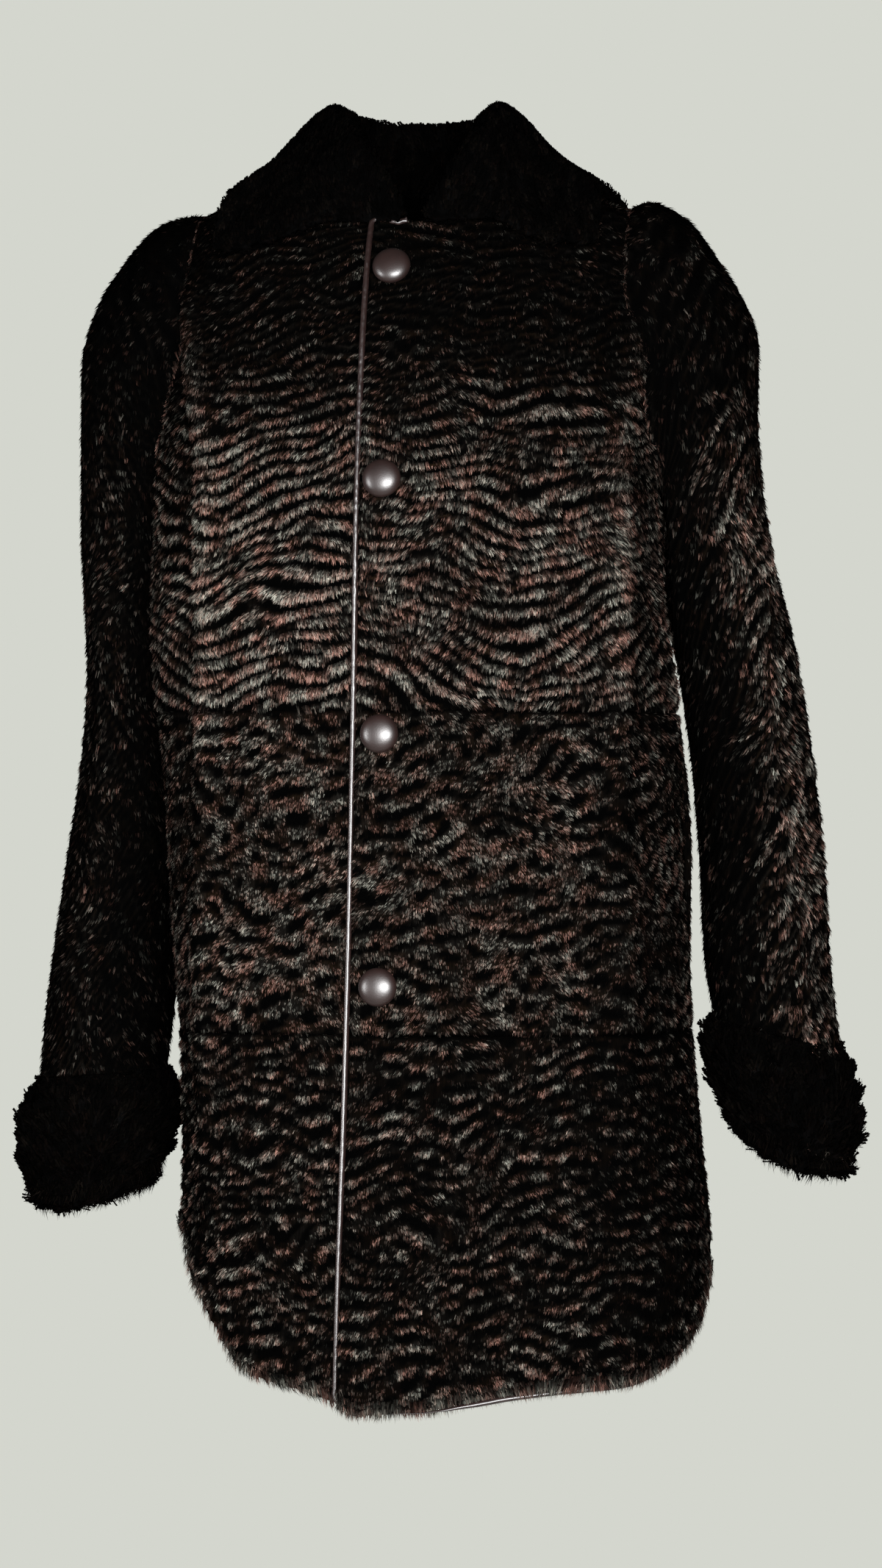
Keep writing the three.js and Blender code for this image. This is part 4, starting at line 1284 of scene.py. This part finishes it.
binding_piece.data.materials.append(leather)
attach(binding_piece, "root")
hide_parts("front_left_binding")
for number, piece in enumerate(buttons):
    piece.data.materials.append(leather)
    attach(piece, "root")
    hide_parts(f"button_{number + 1}")


# Studio

FLOOR_HEIGHT = -1.42


def studio():
    turn = np.linspace(0, 2 * math.pi, 96, endpoint=False)
    points = stack(3000 * np.cos(turn), 3000 * np.sin(turn), FLOOR_HEIGHT / MM + 0 * turn)
    floor = mesh_object("studio_floor", points, [np.arange(96)[None, :]], [0], None)
    material, tree = new_material("matt_paper")
    shader = add(tree, "ShaderNodeBsdfPrincipled", {"Base Color": colour("#b4b5b0"), "Roughness": 0.9})
    finish_material(tree, shader)
    floor.data.materials.append(material)
    world = bpy.data.worlds.new("studio")
    world.use_nodes = True
    world.node_tree.nodes.clear()
    tree = world.node_tree
    seen = add(tree, "ShaderNodeLightPath")
    strength = add(tree, "ShaderNodeMix", {"Factor": seen.outputs["Is Camera Ray"], 2: 0.06, 3: 1.0})
    wall = add(tree, "ShaderNodeBackground", {"Color": colour("#d4d6ce"), "Strength": strength.outputs[0]})
    add(tree, "ShaderNodeOutputWorld", {"Surface": wall.outputs[0]})
    bpy.context.scene.world = world


def soft_light(name, place, aim, size, power):
    light = bpy.data.lights.new(name, "AREA")
    light.shape = "RECTANGLE"
    light.size, light.size_y = size
    light.spread = math.radians(60)
    light.energy = power
    lamp = bpy.data.objects.new(name, light)
    bpy.context.scene.collection.objects.link(lamp)
    lamp.location = place
    direction = unit(np.array(aim, float) - np.array(place, float))
    turn = math.atan2(direction[0], -direction[1])
    lamp.rotation_euler = (math.pi / 2 + math.asin(direction[2]), 0, turn + math.pi)


studio()
bpy.context.scene.view_settings.view_transform = "Standard"
soft_light("front_softbox", (0.9, -3.2, -0.42), (0.0, -0.1, -0.46), (2.0, 1.1), 62)
soft_light("left_softbox", (-2.4, -2.0, -0.45), (0.0, -0.1, -0.5), (0.7, 1.1), 10)
soft_light("back_softbox", (-0.5, 3.2, -0.2), (0.0, 0.1, -0.4), (1.6, 1.2), 50)
